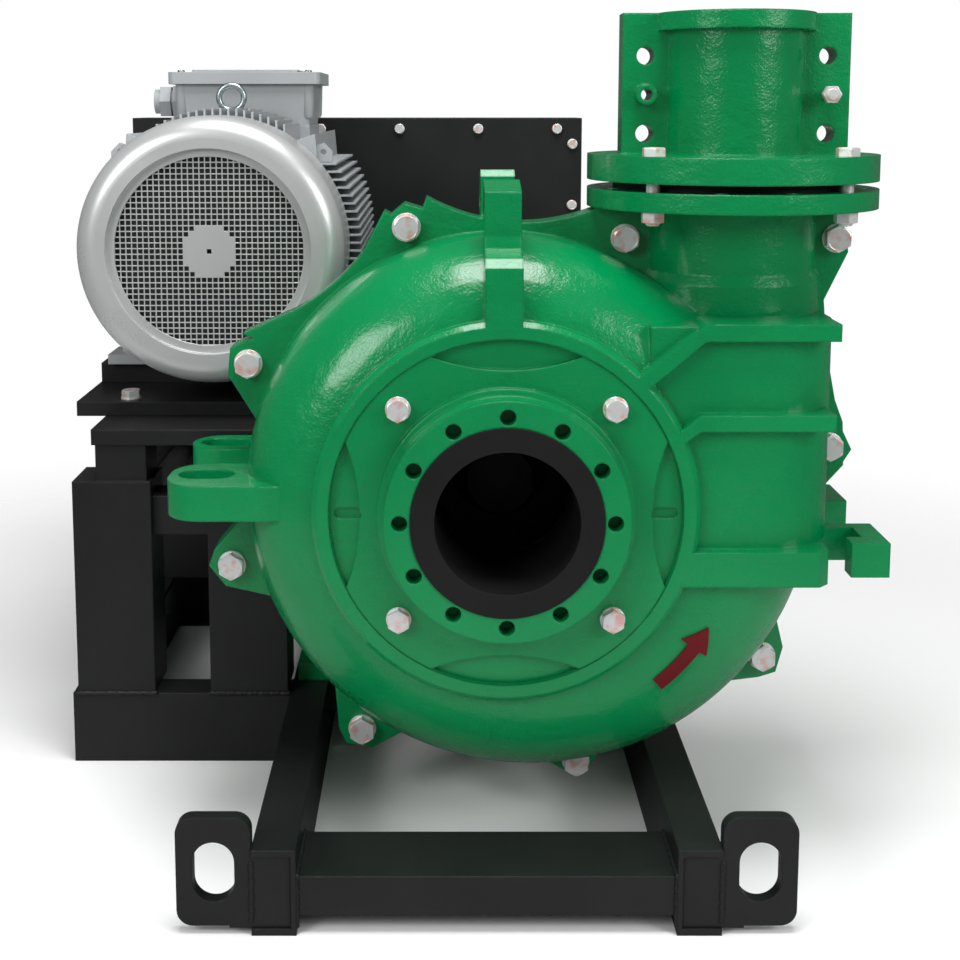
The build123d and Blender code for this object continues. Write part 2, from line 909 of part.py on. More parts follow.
# Stuffing box bolted behind the rear casing half
box_neck_y = wet_back_y + 15
packing_front_y = box_neck_y + 1
stuffing_box = turned(
    [
        (sleeve_od / 2 + 3, wet_back_y),
        (box_od / 2, wet_back_y),
        (box_od / 2, casing_back_y),
        (145, casing_back_y),
        (145, casing_back_y + 22),
        (box_od / 2, casing_back_y + 22),
        (box_od / 2, box_rear_y),
        (box_bore / 2, box_rear_y),
        (box_bore / 2, box_neck_y),
        (sleeve_od / 2 + 3, box_neck_y),
    ]
)
finish(stuffing_box, "stuffing_box")

with BuildPart() as packing:
    for index in range(packing_rings):
        start = packing_front_y + index * packing_size
        add(
            turned(
                [
                    (sleeve_od / 2 + seat_gap, start),
                    (box_bore / 2 - seat_gap, start),
                    (box_bore / 2 - seat_gap, start + packing_size - seat_gap),
                    (sleeve_od / 2 + seat_gap, start + packing_size - seat_gap),
                ]
            )
        )
finish(packing.part, "packing_rings")

# Gland follower that presses on the packing, with its two studs and nuts
gland_nose_y = packing_front_y + packing_rings * packing_size
gland_flange_y = box_rear_y + 10
with BuildPart() as gland:
    with BuildSketch(across(gland_flange_y + gland_flange_thickness)):
        SlotOverall(2 * gland_stud_reach + 44, box_bore + 20)
        Circle(sleeve_od / 2 + 2, mode=Mode.SUBTRACT)
        with Locations((-gland_stud_reach, 0), (gland_stud_reach, 0)):
            Circle(gland_stud / 2 + 1, mode=Mode.SUBTRACT)
    extrude(amount=gland_flange_thickness)
    with BuildSketch(across(gland_flange_y)):
        Circle(box_bore / 2 - seat_gap)
        Circle(sleeve_od / 2 + 2, mode=Mode.SUBTRACT)
    extrude(amount=gland_flange_y - gland_nose_y)
finish(gland.part, "gland_follower")

gland_back_y = gland_flange_y + gland_flange_thickness
with BuildPart() as gland_studs:
    with BuildSketch(across(gland_back_y + 45)):
        with Locations((-gland_stud_reach, 0), (gland_stud_reach, 0)):
            Circle(gland_stud / 2)
    extrude(amount=gland_back_y + 45 - casing_back_y - 22)
finish(gland_studs.part, "gland_studs")

with BuildPart() as gland_nuts:
    with BuildSketch(across(gland_back_y + 0.8 * gland_stud)):
        with Locations((-gland_stud_reach, 0), (gland_stud_reach, 0)):
            RegularPolygon(0.75 * gland_stud, 6, major_radius=False)
            Circle(gland_stud / 2 + seat_gap, mode=Mode.SUBTRACT)
    extrude(amount=0.8 * gland_stud)
finish(gland_nuts.part, "gland_nuts")

# Pedestal: front ring on the casing, two side walls, a saddle and a foot on the base rails
foot_left_x = left_web_x - channel_flange + 8
foot_right_x = right_web_x + channel_flange - 8
foot_top_z = rail_top_z + pedestal_foot_thickness
saddle_top_z = -20.0
with BuildPart() as pedestal:
    with BuildSketch(across(pedestal_front_y + pedestal_ring_thickness)):
        Circle(pedestal_ring_od / 2)
        Circle(150, mode=Mode.SUBTRACT)
    extrude(amount=pedestal_ring_thickness)
    add(
        block(
            (foot_left_x, foot_right_x),
            (pedestal_front_y, pedestal_rear_y),
            (rail_top_z, foot_top_z),
        )
    )
    for side in (-1, 1):
        with BuildSketch(Plane(origin=(side * 157, 0, 0), x_dir=(0, 1, 0), z_dir=(1, 0, 0))):
            with BuildLine():
                Polyline(
                    (pedestal_front_y, foot_top_z),
                    (pedestal_rear_y - 20, foot_top_z),
                    (pedestal_rear_y - 30, saddle_top_z),
                    (saddle_front_y, saddle_top_z),
                    (saddle_front_y - 70, 20),
                    (pedestal_front_y + 20, 130),
                    (pedestal_front_y, 130),
                    close=True,
                )
            make_face()
        extrude(amount=12, both=True)
    add(block((-150, 150), (saddle_front_y, pedestal_rear_y - 30), (-190, saddle_top_z)))
    for rib_y in (pedestal_front_y, saddle_front_y, pedestal_rear_y - 60):
        add(block((-150, 150), (rib_y, rib_y + 28), (foot_top_z, -180)))
    with BuildSketch(across(pedestal_rear_y + 100)):
        Circle(housing_od / 2 + seat_gap)
    extrude(amount=pedestal_rear_y + 100 - pedestal_front_y, mode=Mode.SUBTRACT)
    with BuildSketch(across(pedestal_front_y + pedestal_ring_thickness)):
        with PolarLocations(pedestal_bolt_pcd / 2, 8, start_angle=22.5):
            Circle((cover_bolt + clearance_hole_extra) / 2)
    extrude(amount=pedestal_ring_thickness, mode=Mode.SUBTRACT)
finish(pedestal.part, "pedestal")

# Bearing housing in the saddle, with its end covers and bearings
housing_bore = bearing_od / 2 + running_gap
bearing_housing = turned(
    [
        (housing_od / 2, housing_front_y),
        (housing_od / 2, housing_rear_y),
        (housing_bore, housing_rear_y),
        (housing_bore, rear_bearing_y),
        (housing_bore + 14, rear_bearing_y),
        (housing_bore + 14, front_bearing_y + bearing_width),
        (housing_bore, front_bearing_y + bearing_width),
        (housing_bore, housing_front_y),
    ]
)
finish(bearing_housing, "bearing_housing")


def bearing_ring(inner, outer, inset=0.0):
    """The same ring in the front and the rear bearing."""
    with BuildPart() as rings:
        for start in (front_bearing_y, rear_bearing_y):
            add(
                turned(
                    [
                        (inner, start + inset),
                        (outer, start + inset),
                        (outer, start + bearing_width - inset),
                        (inner, start + bearing_width - inset),
                    ]
                )
            )
    return rings.part


ring_wall = (bearing_od - bearing_seat_d) / 6
finish(bearing_ring(bearing_od / 2 - ring_wall, bearing_od / 2), "bearing_outer_rings")
finish(
    bearing_ring(bearing_seat_d / 2 + running_gap, bearing_seat_d / 2 + ring_wall),
    "bearing_inner_rings",
)
finish(
    bearing_ring(
        bearing_seat_d / 2 + ring_wall + running_gap, bearing_od / 2 - ring_wall - seat_gap, 8.0
    ),
    "bearing_rollers",
)


def end_cover(face_y, outward, inner_y):
    """Bearing end cover: a flange on the housing face and a spigot up to the bearing."""
    return turned(
        [
            (bearing_seat_d / 2 + 4, face_y + outward * end_cover_thickness),
            (housing_od / 2 - 6, face_y + outward * end_cover_thickness),
            (housing_od / 2 - 2, face_y),
            (bearing_od / 2, face_y),
            (bearing_od / 2, inner_y),
            (bearing_od / 2 - 12, inner_y),
            (bearing_od / 2 - 12, face_y),
            (bearing_seat_d / 2 + 4, face_y),
        ]
    )


with BuildPart() as end_covers:
    add(end_cover(housing_front_y, -1, front_bearing_y))
    add(end_cover(housing_rear_y, 1, rear_bearing_y + bearing_width))
finish(end_covers.part, "end_covers")

# Two straps that clamp the housing down on the saddle
with BuildPart() as housing_straps:
    for strap_y in (saddle_front_y + 30, pedestal_rear_y - 100):
        with BuildSketch(across(strap_y + 45)) as strap:
            Circle(housing_od / 2 + 20)
            with Locations((0, saddle_top_z + 10)):
                Rectangle(housing_od + 74, 20)
            Circle(housing_od / 2 + seat_gap, mode=Mode.SUBTRACT)
            with Locations((0, saddle_top_z - 200)):
                Rectangle(600, 400, mode=Mode.SUBTRACT)
        extrude(amount=45)
finish(housing_straps.part, "housing_straps")

# Fasteners of the casing, the suction cover and the pedestal
with BuildPart() as casing_bolts:
    for x, z in bolt_places:
        add(hex_bolt(casing_bolt, 2 * plate_thickness, across_at(x, split_y - plate_thickness, z)))
finish(casing_bolts.part, "casing_bolts")

with BuildPart() as cover_bolts:
    for sx, sz in corner_signs:
        head = across_at(sx * cover_bolt_reach, cover_face_y, sz * cover_bolt_reach)
        add(hex_bolt(cover_bolt - seat_gap, cover_thickness + 18, head, nut=False))
finish(cover_bolts.part, "cover_bolts")

with BuildPart() as pedestal_bolts:
    for index in range(8):
        turn = math.radians(22.5 + 45 * index)
        head = Plane(
            origin=(
                pedestal_bolt_pcd / 2 * math.cos(turn),
                pedestal_front_y + pedestal_ring_thickness,
                pedestal_bolt_pcd / 2 * math.sin(turn),
            ),
            x_dir=(1, 0, 0),
            z_dir=(0, 1, 0),
        )
        add(hex_bolt(cover_bolt, pedestal_ring_thickness + pedestal_bolt_depth - 2, head, nut=False))
finish(pedestal_bolts.part, "pedestal_bolts")

# Rubber seal between the discharge flanges
discharge_seal = upright(
    [
        (discharge_bore / 2, lower_flange_top_z),
        (discharge_pcd / 2 - 17, lower_flange_top_z),
        (discharge_pcd / 2 - 17, upper_flange_z),
        (discharge_bore / 2, upper_flange_z),
    ],
    discharge_x,
    split_y,
)
finish(discharge_seal, "discharge_seal")

# Discharge spool: flange, pipe, collar and two wings in the plane of the casing split
with BuildPart() as discharge_spool:
    with BuildSketch(Plane.XY.offset(upper_flange_z)):
        with Locations((discharge_x, split_y)):
            Circle(discharge_flange_od / 2)
    extrude(amount=upper_flange_thickness)
    with BuildSketch(Plane.XY.offset(upper_flange_z)):
        with Locations((discharge_x, split_y)):
            Circle(spool_od / 2)
    extrude(amount=spool_top_z - upper_flange_z)
    with BuildSketch(Plane.XY.offset(spool_top_z - spool_collar_height)):
        with Locations((discharge_x, split_y)):
            Circle(spool_collar_od / 2)
    extrude(amount=spool_collar_height)
    with BuildSketch(Plane.XY.offset(upper_flange_top_z)):
        with Locations((discharge_x, split_y)):
            Rectangle(wing_width, wing_thickness)
    extrude(amount=spool_top_z - upper_flange_top_z)
    with BuildSketch(across(split_y + wing_thickness)):
        with Locations((discharge_x, wing_hole_low_z + wing_hole_pitch)):
            with GridLocations(2 * wing_hole_reach, 2 * wing_hole_pitch, 2, 2):
                Circle(wing_hole / 2)
        with Locations(
            (discharge_x + wing_hole_reach, wing_hole_low_z + wing_hole_pitch),
            (discharge_x - wing_hole_reach, wing_hole_low_z + wing_hole_pitch),
        ):
            Circle(8.5)
    extrude(amount=2 * wing_thickness, mode=Mode.SUBTRACT)
    with BuildSketch(across(split_y - wing_thickness / 2)):
        with Locations((discharge_x - wing_hole_reach, wing_hole_low_z + wing_hole_pitch)):
            Circle(15.5)
            Circle(8.5, mode=Mode.SUBTRACT)
    extrude(amount=22)
    with BuildSketch(Plane.XY.offset(upper_flange_z)):
        with Locations((discharge_x, split_y)):
            Circle(discharge_bore / 2 + 10)
    extrude(amount=spool_top_z - upper_flange_z, mode=Mode.SUBTRACT)
    with BuildSketch(Plane.XY.offset(upper_flange_z)):
        with Locations((discharge_x, split_y)):
            with PolarLocations(discharge_pcd / 2, discharge_holes, start_angle=15):
                Circle(discharge_hole / 2)
    extrude(amount=upper_flange_thickness, mode=Mode.SUBTRACT)
finish(discharge_spool.part, "discharge_spool")

# Four bolts through the discharge flanges, and the jack stud in the right wing
spool_bolt = 20.0
with BuildPart() as spool_bolts:
    for turn in (-45, -135, 45, 135):
        head = Plane.XY.offset(upper_flange_top_z)
        head.origin = (
            discharge_x + discharge_pcd / 2 * math.cos(math.radians(turn)),
            split_y + discharge_pcd / 2 * math.sin(math.radians(turn)),
            upper_flange_top_z,
        )
        grip = upper_flange_thickness + seal_gap + lower_flange_thickness
        add(hex_bolt(spool_bolt, grip, head, washer=False))
finish(spool_bolts.part, "spool_bolts")

jack_stud = hex_bolt(
    16.0,
    wing_thickness + 20,
    Plane(
        origin=(
            discharge_x + wing_hole_reach,
            split_y + wing_thickness / 2,
            wing_hole_low_z + wing_hole_pitch,
        ),
        x_dir=(1, 0, 0),
        z_dir=(0, 1, 0),
    ),
)
finish(jack_stud, "jack_stud")


# Base frame
def channel(height, flange, web, flange_wall):
    """Channel section, its web's back face on the local y axis and its flanges towards local -x."""
    with BuildSketch() as section:
        with Locations((-flange / 2, 0)):
            Rectangle(flange, height)
        with Locations((-web - (flange - web) / 2 - 0.5, 0)):
            Rectangle(flange - web + 1, height - 2 * flange_wall, mode=Mode.SUBTRACT)
    return section.sketch


rail_mid_z = floor_z + channel_height / 2
section_120 = channel(channel_height, channel_flange, channel_web, channel_flange_thickness)
section_120_narrow = channel(
    channel_height, crossbar_flange, channel_web, channel_flange_thickness
)
for side, web_x, name in ((1, left_web_x, "base_rail_left"), (-1, right_web_x, "base_rail_right")):
    with BuildPart() as rail:
        plane = Plane(origin=(web_x, base_rear_y, rail_mid_z), x_dir=(side, 0, 0), z_dir=(0, -side, 0))
        with BuildSketch(plane):
            add(section_120)
        extrude(amount=side * (base_rear_y - base_front_y))
    finish(rail.part, name)


def flat_crossbar(front_y, top_z):
    """Channel lying on its flanges between the rails, its web on top."""
    with BuildPart() as bar:
        plane = Plane(
            origin=(left_web_x, front_y + channel_height / 2, top_z),
            x_dir=(0, 0, 1),
            z_dir=(1, 0, 0),
        )
        with BuildSketch(plane):
            add(section_120_narrow)
        extrude(amount=right_web_x - left_web_x)
    return bar.part


finish(flat_crossbar(crossbar_front_y, floor_z + crossbar_top_z), "front_crossbar")
with BuildPart() as rear_crossbars:
    for bar_y in (pedestal_front_y, 860.0, base_rear_y - channel_height):
        add(flat_crossbar(bar_y, rail_top_z))
finish(rear_crossbars.part, "rear_crossbars")

# Lifting lugs, plates welded inside the front ends of the rails
with BuildPart() as lifting_lugs:
    for side, web_x in ((-1, left_web_x - channel_web), (1, right_web_x + channel_web)):
        tip_x = web_x + side * (channel_flange - channel_web)
        outer_x = tip_x + side * lug_reach
        with BuildSketch(across(base_front_y + 4 + lug_thickness)):
            with Locations(((tip_x + outer_x) / 2, floor_z + lug_bottom + lug_height / 2)):
                RectangleRounded(lug_reach, lug_height, lug_rounding)
            with Locations(((web_x + tip_x + side * 30) / 2, rail_mid_z)):
                Rectangle(
                    abs(tip_x + side * 30 - web_x), channel_height - 2 * channel_flange_thickness
                )
            with Locations(((tip_x + outer_x) / 2, floor_z + lug_bottom + lug_height / 2)):
                SlotOverall(lug_slot_height, lug_slot_width, rotation=90, mode=Mode.SUBTRACT)
        extrude(amount=lug_thickness)
finish(lifting_lugs.part, "lifting_lugs")

# Beams under the motor stand, beside the left rail
stand_right_x = left_web_x - channel_flange
with BuildPart() as stand_beams:
    front_plane = Plane(
        origin=(stand_left_x, stand_front_y, rail_mid_z), x_dir=(0, -1, 0), z_dir=(1, 0, 0)
    )
    with BuildSketch(front_plane):
        add(section_120)
    extrude(amount=stand_right_x - stand_left_x)
    rear_plane = Plane(
        origin=(stand_right_x, stand_rear_y, rail_mid_z), x_dir=(0, 1, 0), z_dir=(-1, 0, 0)
    )
    with BuildSketch(rear_plane):
        add(section_120)
    extrude(amount=stand_right_x - stand_left_x)
    side_plane = Plane(
        origin=(stand_left_x, stand_rear_y - channel_flange, rail_mid_z),
        x_dir=(-1, 0, 0),
        z_dir=(0, -1, 0),
    )
    with BuildSketch(side_plane):
        add(channel(channel_height, channel_flange, channel_web, channel_flange_thickness))
    extrude(amount=stand_rear_y - stand_front_y - 2 * channel_flange)
finish(stand_beams.part, "stand_beams")

# Posts of the motor stand, with the beams and the top plate that they carry
post_mid_z = -60.0
post_y = (stand_front_y + post_depth / 2, stand_rear_y - post_depth / 2)
with BuildPart() as stand_posts:
    for centre_x in (left_post_x, right_post_x):
        for centre_y in post_y:
            with BuildSketch(Plane.XY.offset(rail_top_z)):
                with Locations((centre_x, centre_y)):
                    Rectangle(post_width, post_depth)
                    Rectangle(
                        post_width - 2 * post_wall, post_depth - 2 * post_wall, mode=Mode.SUBTRACT
                    )
            extrude(amount=post_mid_z - rail_top_z)
            with BuildSketch(Plane.XY.offset(post_mid_z)):
                with Locations((centre_x, centre_y)):
                    Rectangle(post_width, post_depth)
            extrude(amount=post_wall)
            with BuildSketch(Plane.XY.offset(post_mid_z + post_wall)):
                with Locations((centre_x + 16, centre_y)):
                    Rectangle(post_width - 46, post_depth - 10)
            extrude(amount=stand_top_z - post_mid_z - post_wall)
finish(stand_posts.part, "stand_posts")

crossbeam_low = post_mid_z - 20 - stand_crossbeam_height
with BuildPart() as stand_crossbeams:
    for centre_y in post_y:
        add(
            block(
                (left_post_x + post_width / 2, right_post_x - post_width / 2),
                (centre_y - 35, centre_y + 35),
                (crossbeam_low, crossbeam_low + stand_crossbeam_height),
            )
        )
    for centre_x in (left_post_x, right_post_x):
        add(
            block(
                (centre_x - 35, centre_x + 35),
                (post_y[0] + post_depth / 2, post_y[1] - post_depth / 2),
                (crossbeam_low, crossbeam_low + stand_crossbeam_height),
            )
        )
finish(stand_crossbeams.part, "stand_crossbeams")

stand_top_plate_form = [
    (top_plate_left_x, stand_front_y),
    (top_plate_right_x, stand_front_y),
    (top_plate_right_x, motor_plate_front_y - 30),
    (motor_x + foot_gauge / 2 + 60, motor_plate_front_y - 30),
    (motor_x + foot_gauge / 2 + 60, stand_rear_y),
    (top_plate_left_x, stand_rear_y),
]
with BuildPart() as stand_top_plate:
    with BuildSketch(Plane.XY.offset(stand_top_z)):
        with BuildLine():
            Polyline(*stand_top_plate_form, close=True)
        make_face()
    extrude(amount=top_plate_thickness)
finish(stand_top_plate.part, "stand_top_plate")

motor_plate_right_x = motor_x + foot_gauge / 2 + 60
motor_plate = block(
    (motor_plate_left_x, motor_plate_right_x),
    (motor_plate_front_y, stand_rear_y),
    (motor_plate_z, slide_rail_z),
)
finish(motor_plate, "motor_plate")

# Two slide rails across the motor, each a channel with a bolt slot along its top
with BuildPart() as slide_rails:
    for rail_y in (front_foot_y, rear_foot_y):
        add(
            block(
                (motor_x - foot_gauge / 2 - 56, motor_plate_right_x),
                (rail_y - slide_rail_width / 2, rail_y + slide_rail_width / 2),
                (slide_rail_z, motor_foot_z),
            )
        )
        add(
            block(
                (motor_x - foot_gauge / 2 - 70, motor_plate_right_x + 10),
                (rail_y - slide_rail_width / 2 + 9, rail_y + slide_rail_width / 2 - 9),
                (slide_rail_z - 1, motor_foot_z - 10),
            ),
            mode=Mode.SUBTRACT,
        )
        with BuildSketch(Plane.XY.offset(motor_foot_z - 12)):
            with Locations((motor_x, rail_y)):
                SlotOverall(foot_gauge + 70, 19)
        extrude(amount=20, mode=Mode.SUBTRACT)
finish(slide_rails.part, "slide_rails")

with BuildPart() as plate_bolts:
    for x in (motor_plate_left_x + 88, motor_plate_right_x - 50):
        for y in (motor_plate_front_y + 30, stand_rear_y - 22):
            head = Plane(origin=(x, y, slide_rail_z), x_dir=(1, 0, 0), z_dir=(0, 0, 1))
            add(hex_bolt(20.0, 0, head, nut=False))
finish(plate_bolts.part, "plate_bolts")

# Motor
frame_front_y = cowl_front_y + 120
frame_rear_y = motor_shoulder_y - 60
motor_axis_plane = across_at(motor_x, frame_rear_y, motor_z)
rotor_bore = 224.0
box_x = motor_x + 8
box_seat_z = 529.0
eye_seat_z = 551.0
pad_corners = [(100, 120), (128, 180), (166, 193), (172, 120)]
eye_plate_corners = [(160, 144), (160, 170), (181, 177), (196, 162), (196, 144)]
eye_plate_y = cowl_front_y + cowl_length + 20
box_front_y = motor_shoulder_y - 280
with BuildPart() as motor_frame:
    with BuildSketch(motor_axis_plane):
        Circle(motor_body_od / 2)
        # Flat fins to the sides, and upright ones on the top and the bottom
        for index in range(-side_fins, side_fins + 1):
            with Locations((0, index * fin_pitch)):
                Rectangle(2 * math.sqrt(side_fin_reach**2 - (index * fin_pitch) ** 2), fin_thickness)
        for index in range(-top_fins, top_fins + 1):
            with Locations((index * fin_pitch, 0)):
                Rectangle(fin_thickness, 2 * math.sqrt(top_fin_reach**2 - (index * fin_pitch) ** 2))
    extrude(amount=frame_rear_y - frame_front_y)
    # Corner pads beside the terminal box, each with a small eye at its foot
    for side in (-1, 1):
        with BuildSketch(motor_axis_plane):
            Polygon(*[(side * x, z) for x, z in pad_corners], align=None)
        extrude(amount=frame_rear_y - frame_front_y)
        with BuildSketch(across_at(motor_x, eye_plate_y, motor_z)):
            Polygon(*[(side * x, z) for x, z in eye_plate_corners], align=None)
            with Locations((side * 180, 161)):
                Circle(5, mode=Mode.SUBTRACT)
        extrude(amount=10)
    add(
        block(
            (motor_x - 300, motor_x + 300),
            (frame_front_y, frame_rear_y),
            (motor_foot_z - 50, motor_foot_z + 22),
        ),
        mode=Mode.SUBTRACT,
    )
    for foot_y in (front_foot_y, rear_foot_y):
        for side in (-1, 1):
            foot_x = motor_x + side * foot_gauge / 2
            add(
                block(
                    (foot_x - foot_width / 2, foot_x + foot_width / 2),
                    (foot_y - foot_length / 2, foot_y + foot_length / 2),
                    (motor_foot_z, motor_foot_z + foot_thickness),
                )
            )
            add(
                block(
                    (foot_x - side * 34 - 8, foot_x - side * 34 + 8),
                    (foot_y - foot_length / 2, foot_y + foot_length / 2),
                    (motor_foot_z, motor_z - 90),
                )
            )
            with BuildSketch(Plane.XY.offset(motor_foot_z)):
                with Locations((foot_x + side * 8, foot_y)):
                    Circle(9.3)
            extrude(amount=foot_thickness, mode=Mode.SUBTRACT)
    add(block((box_x - 125, box_x + 125), (box_front_y, box_front_y + 214), (motor_z + 150, box_seat_z)))
    add(
        block((box_x - 132, box_x + 132), (box_front_y - 8, frame_rear_y), (box_seat_z, motor_z + 300)),
        mode=Mode.SUBTRACT,
    )
    add(block((motor_x - 24, motor_x + 24), (eye_y - 22, eye_y + 22), (motor_z + 150, eye_seat_z)))
    add(
        block((motor_x - 30, motor_x + 30), (eye_y - 28, eye_y + 28), (eye_seat_z, motor_z + 300)),
        mode=Mode.SUBTRACT,
    )
    add(
        turned(
            [
                (motor_body_od / 2, frame_front_y - 1),
                (cowl_od, frame_front_y - 1),
                (cowl_od, cowl_front_y + cowl_length + seat_gap),
                (motor_body_od / 2, cowl_front_y + cowl_length + seat_gap),
            ],
            motor_x,
            motor_z,
        ),
        mode=Mode.SUBTRACT,
    )
    with BuildSketch(motor_axis_plane):
        Circle(rotor_bore / 2)
    extrude(amount=frame_rear_y - frame_front_y, mode=Mode.SUBTRACT)
finish(motor_frame.part, "motor_frame")

drive_end_shield = turned(
    [
        (motor_shaft_d / 2 + seat_gap, frame_rear_y),
        (motor_body_od / 2 + 12, frame_rear_y),
        (motor_body_od / 2 + 12, frame_rear_y + 18),
        (motor_body_od / 2 - 40, frame_rear_y + 44),
        (70, frame_rear_y + 60),
        (motor_shaft_d / 2 + seat_gap, frame_rear_y + 60),
    ],
    motor_x,
    motor_z,
)
finish(drive_end_shield, "drive_end_shield")

fan_end_shield = turned(
    [
        (motor_shaft_d / 2 + seat_gap, frame_front_y - 20),
        (90, frame_front_y - 20),
        (motor_body_od / 2 - 6, frame_front_y - 12),
        (motor_body_od / 2 - 6, frame_front_y),
        (motor_shaft_d / 2 + seat_gap, frame_front_y),
    ],
    motor_x,
    motor_z,
)
finish(fan_end_shield, "fan_end_shield")

# Fan cowl, pressed from sheet, with a rounded front rim
with BuildPart() as fan_cowl:
    inner_front_y = cowl_front_y + cowl_wall
    cowl_back_y = cowl_front_y + cowl_length
    lip = cowl_lip_od / 2
    cowl = cowl_od / 2
    with BuildSketch(Plane(origin=(motor_x, 0, motor_z), x_dir=(1, 0, 0), z_dir=(0, 0, 1))):
        with BuildLine():
            FilletPolyline(
                (cowl, cowl_back_y),
                (cowl, cowl_front_y),
                (lip, cowl_front_y),
                radius=cowl_rounding + cowl_wall,
            )
            Polyline(
                (lip, cowl_front_y),
                (lip, cowl_front_y + 12),
                (grille_od / 2, cowl_front_y + 12),
                (grille_od / 2, cowl_front_y + 12 + cowl_wall),
                (lip + cowl_wall, cowl_front_y + 12 + cowl_wall),
                (lip + cowl_wall, inner_front_y),
            )
            FilletPolyline(
                (lip + cowl_wall, inner_front_y),
                (cowl - cowl_wall, inner_front_y),
                (cowl - cowl_wall, cowl_back_y),
                radius=cowl_rounding,
            )
            Line((cowl - cowl_wall, cowl_back_y), (cowl, cowl_back_y))
        make_face()
    revolve(axis=Axis((motor_x, 0, motor_z), (0, 1, 0)))
    # Slots for the screws that hold the cowl
    with BuildSketch(across_at(motor_x, cowl_front_y + cowl_slot_place, motor_z)):
        with PolarLocations(cowl, 4, start_angle=45):
            Rectangle(20, 14)
    extrude(amount=7, mode=Mode.SUBTRACT)
finish(fan_cowl.part, "fan_cowl")

# Air inlet grille: crossed wires on a ring, with a blank in the middle
grille_y = cowl_front_y + 12 + cowl_wall
with BuildPart() as cowl_grille:
    with BuildSketch(across_at(motor_x, grille_y + grille_bar, motor_z)):
        Circle(cowl_lip_od / 2 - 1)
        Circle(grille_od / 2 - 4, mode=Mode.SUBTRACT)
        Circle(43.5)
        Circle(5, mode=Mode.SUBTRACT)
        count = int(grille_od / grille_pitch)
        for index in range(count):
            offset_x = (index - (count - 1) / 2) * grille_pitch
            half = math.sqrt((grille_od / 2) ** 2 - offset_x**2)
            reach = max(half - 2, 8)
            with Locations((offset_x, 0)):
                Rectangle(grille_bar, 2 * reach)
            with Locations((0, offset_x)):
                Rectangle(2 * reach, grille_bar)
    extrude(amount=grille_bar)
finish(cowl_grille.part, "cowl_grille")

with BuildPart() as motor_fan:
    with BuildSketch(across_at(motor_x, frame_front_y - 30, motor_z)):
        Circle(55)
        with PolarLocations(115, 7):
            Rectangle(130, 6)
        Circle(motor_shaft_d / 2 - 5 + running_gap, mode=Mode.SUBTRACT)
    extrude(amount=52)
finish(motor_fan.part, "motor_fan")

motor_rotor = turned(
    [
        (0, cowl_front_y + 32),
        (motor_shaft_d / 2 - 5, cowl_front_y + 32),
        (motor_shaft_d / 2 - 5, frame_front_y - 25),
        (motor_shaft_d / 2, frame_front_y - 25),
        (motor_shaft_d / 2, frame_front_y + 60),
        (rotor_bore / 2 - 1, frame_front_y + 60),
        (rotor_bore / 2 - 1, frame_rear_y - 60),
        (motor_shaft_d / 2, frame_rear_y - 60),
        (motor_shaft_d / 2, motor_shoulder_y + motor_shaft_length),
        (0, motor_shoulder_y + motor_shaft_length),
    ],
    motor_x,
    motor_z,
)
finish(motor_rotor, "motor_rotor")

# Terminal box on its seat, lid, cable gland and eye bolt
lid_z = 607.0
with BuildPart() as terminal_box:
    with BuildSketch(Plane.XY.offset(lid_z)):
        with Locations((box_x, box_front_y + 105)):
            RectangleRounded(264, 214, 12)
    extrude(amount=-(lid_z - box_seat_z), taper=6)
finish(terminal_box.part, "terminal_box")

with BuildPart() as terminal_lid:
    with BuildSketch(Plane.XY.offset(lid_z)):
        with Locations((box_x, box_front_y + 105)):
            RectangleRounded(294, 236, 16)
    extrude(amount=23)
finish(terminal_lid.part, "terminal_lid")

gland_z = (lid_z + box_seat_z) / 2 + 6
with BuildPart() as cable_gland:
    wall_x = box_x - 128
    wall_plane = Plane(
        origin=(wall_x, box_front_y + 105, gland_z), x_dir=(0, 1, 0), z_dir=(-1, 0, 0)
    )
    with BuildSketch(wall_plane):
        Circle(24)
    extrude(amount=64)
    with BuildSketch(wall_plane.offset(10)):
        RegularPolygon(31, 6, major_radius=False)
    extrude(amount=16)
    with BuildSketch(wall_plane.offset(30)):
        RegularPolygon(29, 6, major_radius=False)
    extrude(amount=22)
    add(terminal_box.part, mode=Mode.SUBTRACT)
finish(cable_gland.part, "cable_gland")

with BuildPart() as eye_bolt:
    with BuildSketch(Plane(origin=(motor_x, eye_y, eye_seat_z + 29), x_dir=(1, 0, 0), z_dir=(0, 0, 1))):
        with Locations((23, 0)):
            Circle(5.5)
    revolve(axis=Axis((motor_x, eye_y, eye_seat_z + 29), (0, 1, 0)))
    with BuildSketch(Plane.XY.offset(eye_seat_z)):
        with Locations((motor_x, eye_y)):
            Circle(14)
    extrude(amount=5)
    with BuildSketch(Plane.XY.offset(eye_seat_z)):
        with Locations((motor_x, eye_y)):
            Circle(7)
    extrude(amount=8)
finish(eye_bolt.part, "eye_bolt")

with BuildPart() as motor_bolts:
    for foot_y in (front_foot_y, rear_foot_y):
        for side in (-1, 1):
            head = Plane(
                origin=(motor_x + side * (foot_gauge / 2 + 8), foot_y, motor_foot_z + foot_thickness),
                x_dir=(1, 0, 0),
                z_dir=(0, 0, 1),
            )
            add(hex_bolt(16.0, foot_thickness + 10, head))
finish(motor_bolts.part, "motor_bolts")

# Belt drive
pulley_width = (belt_count - 1) * belt_spacing + 2 * pulley_edge


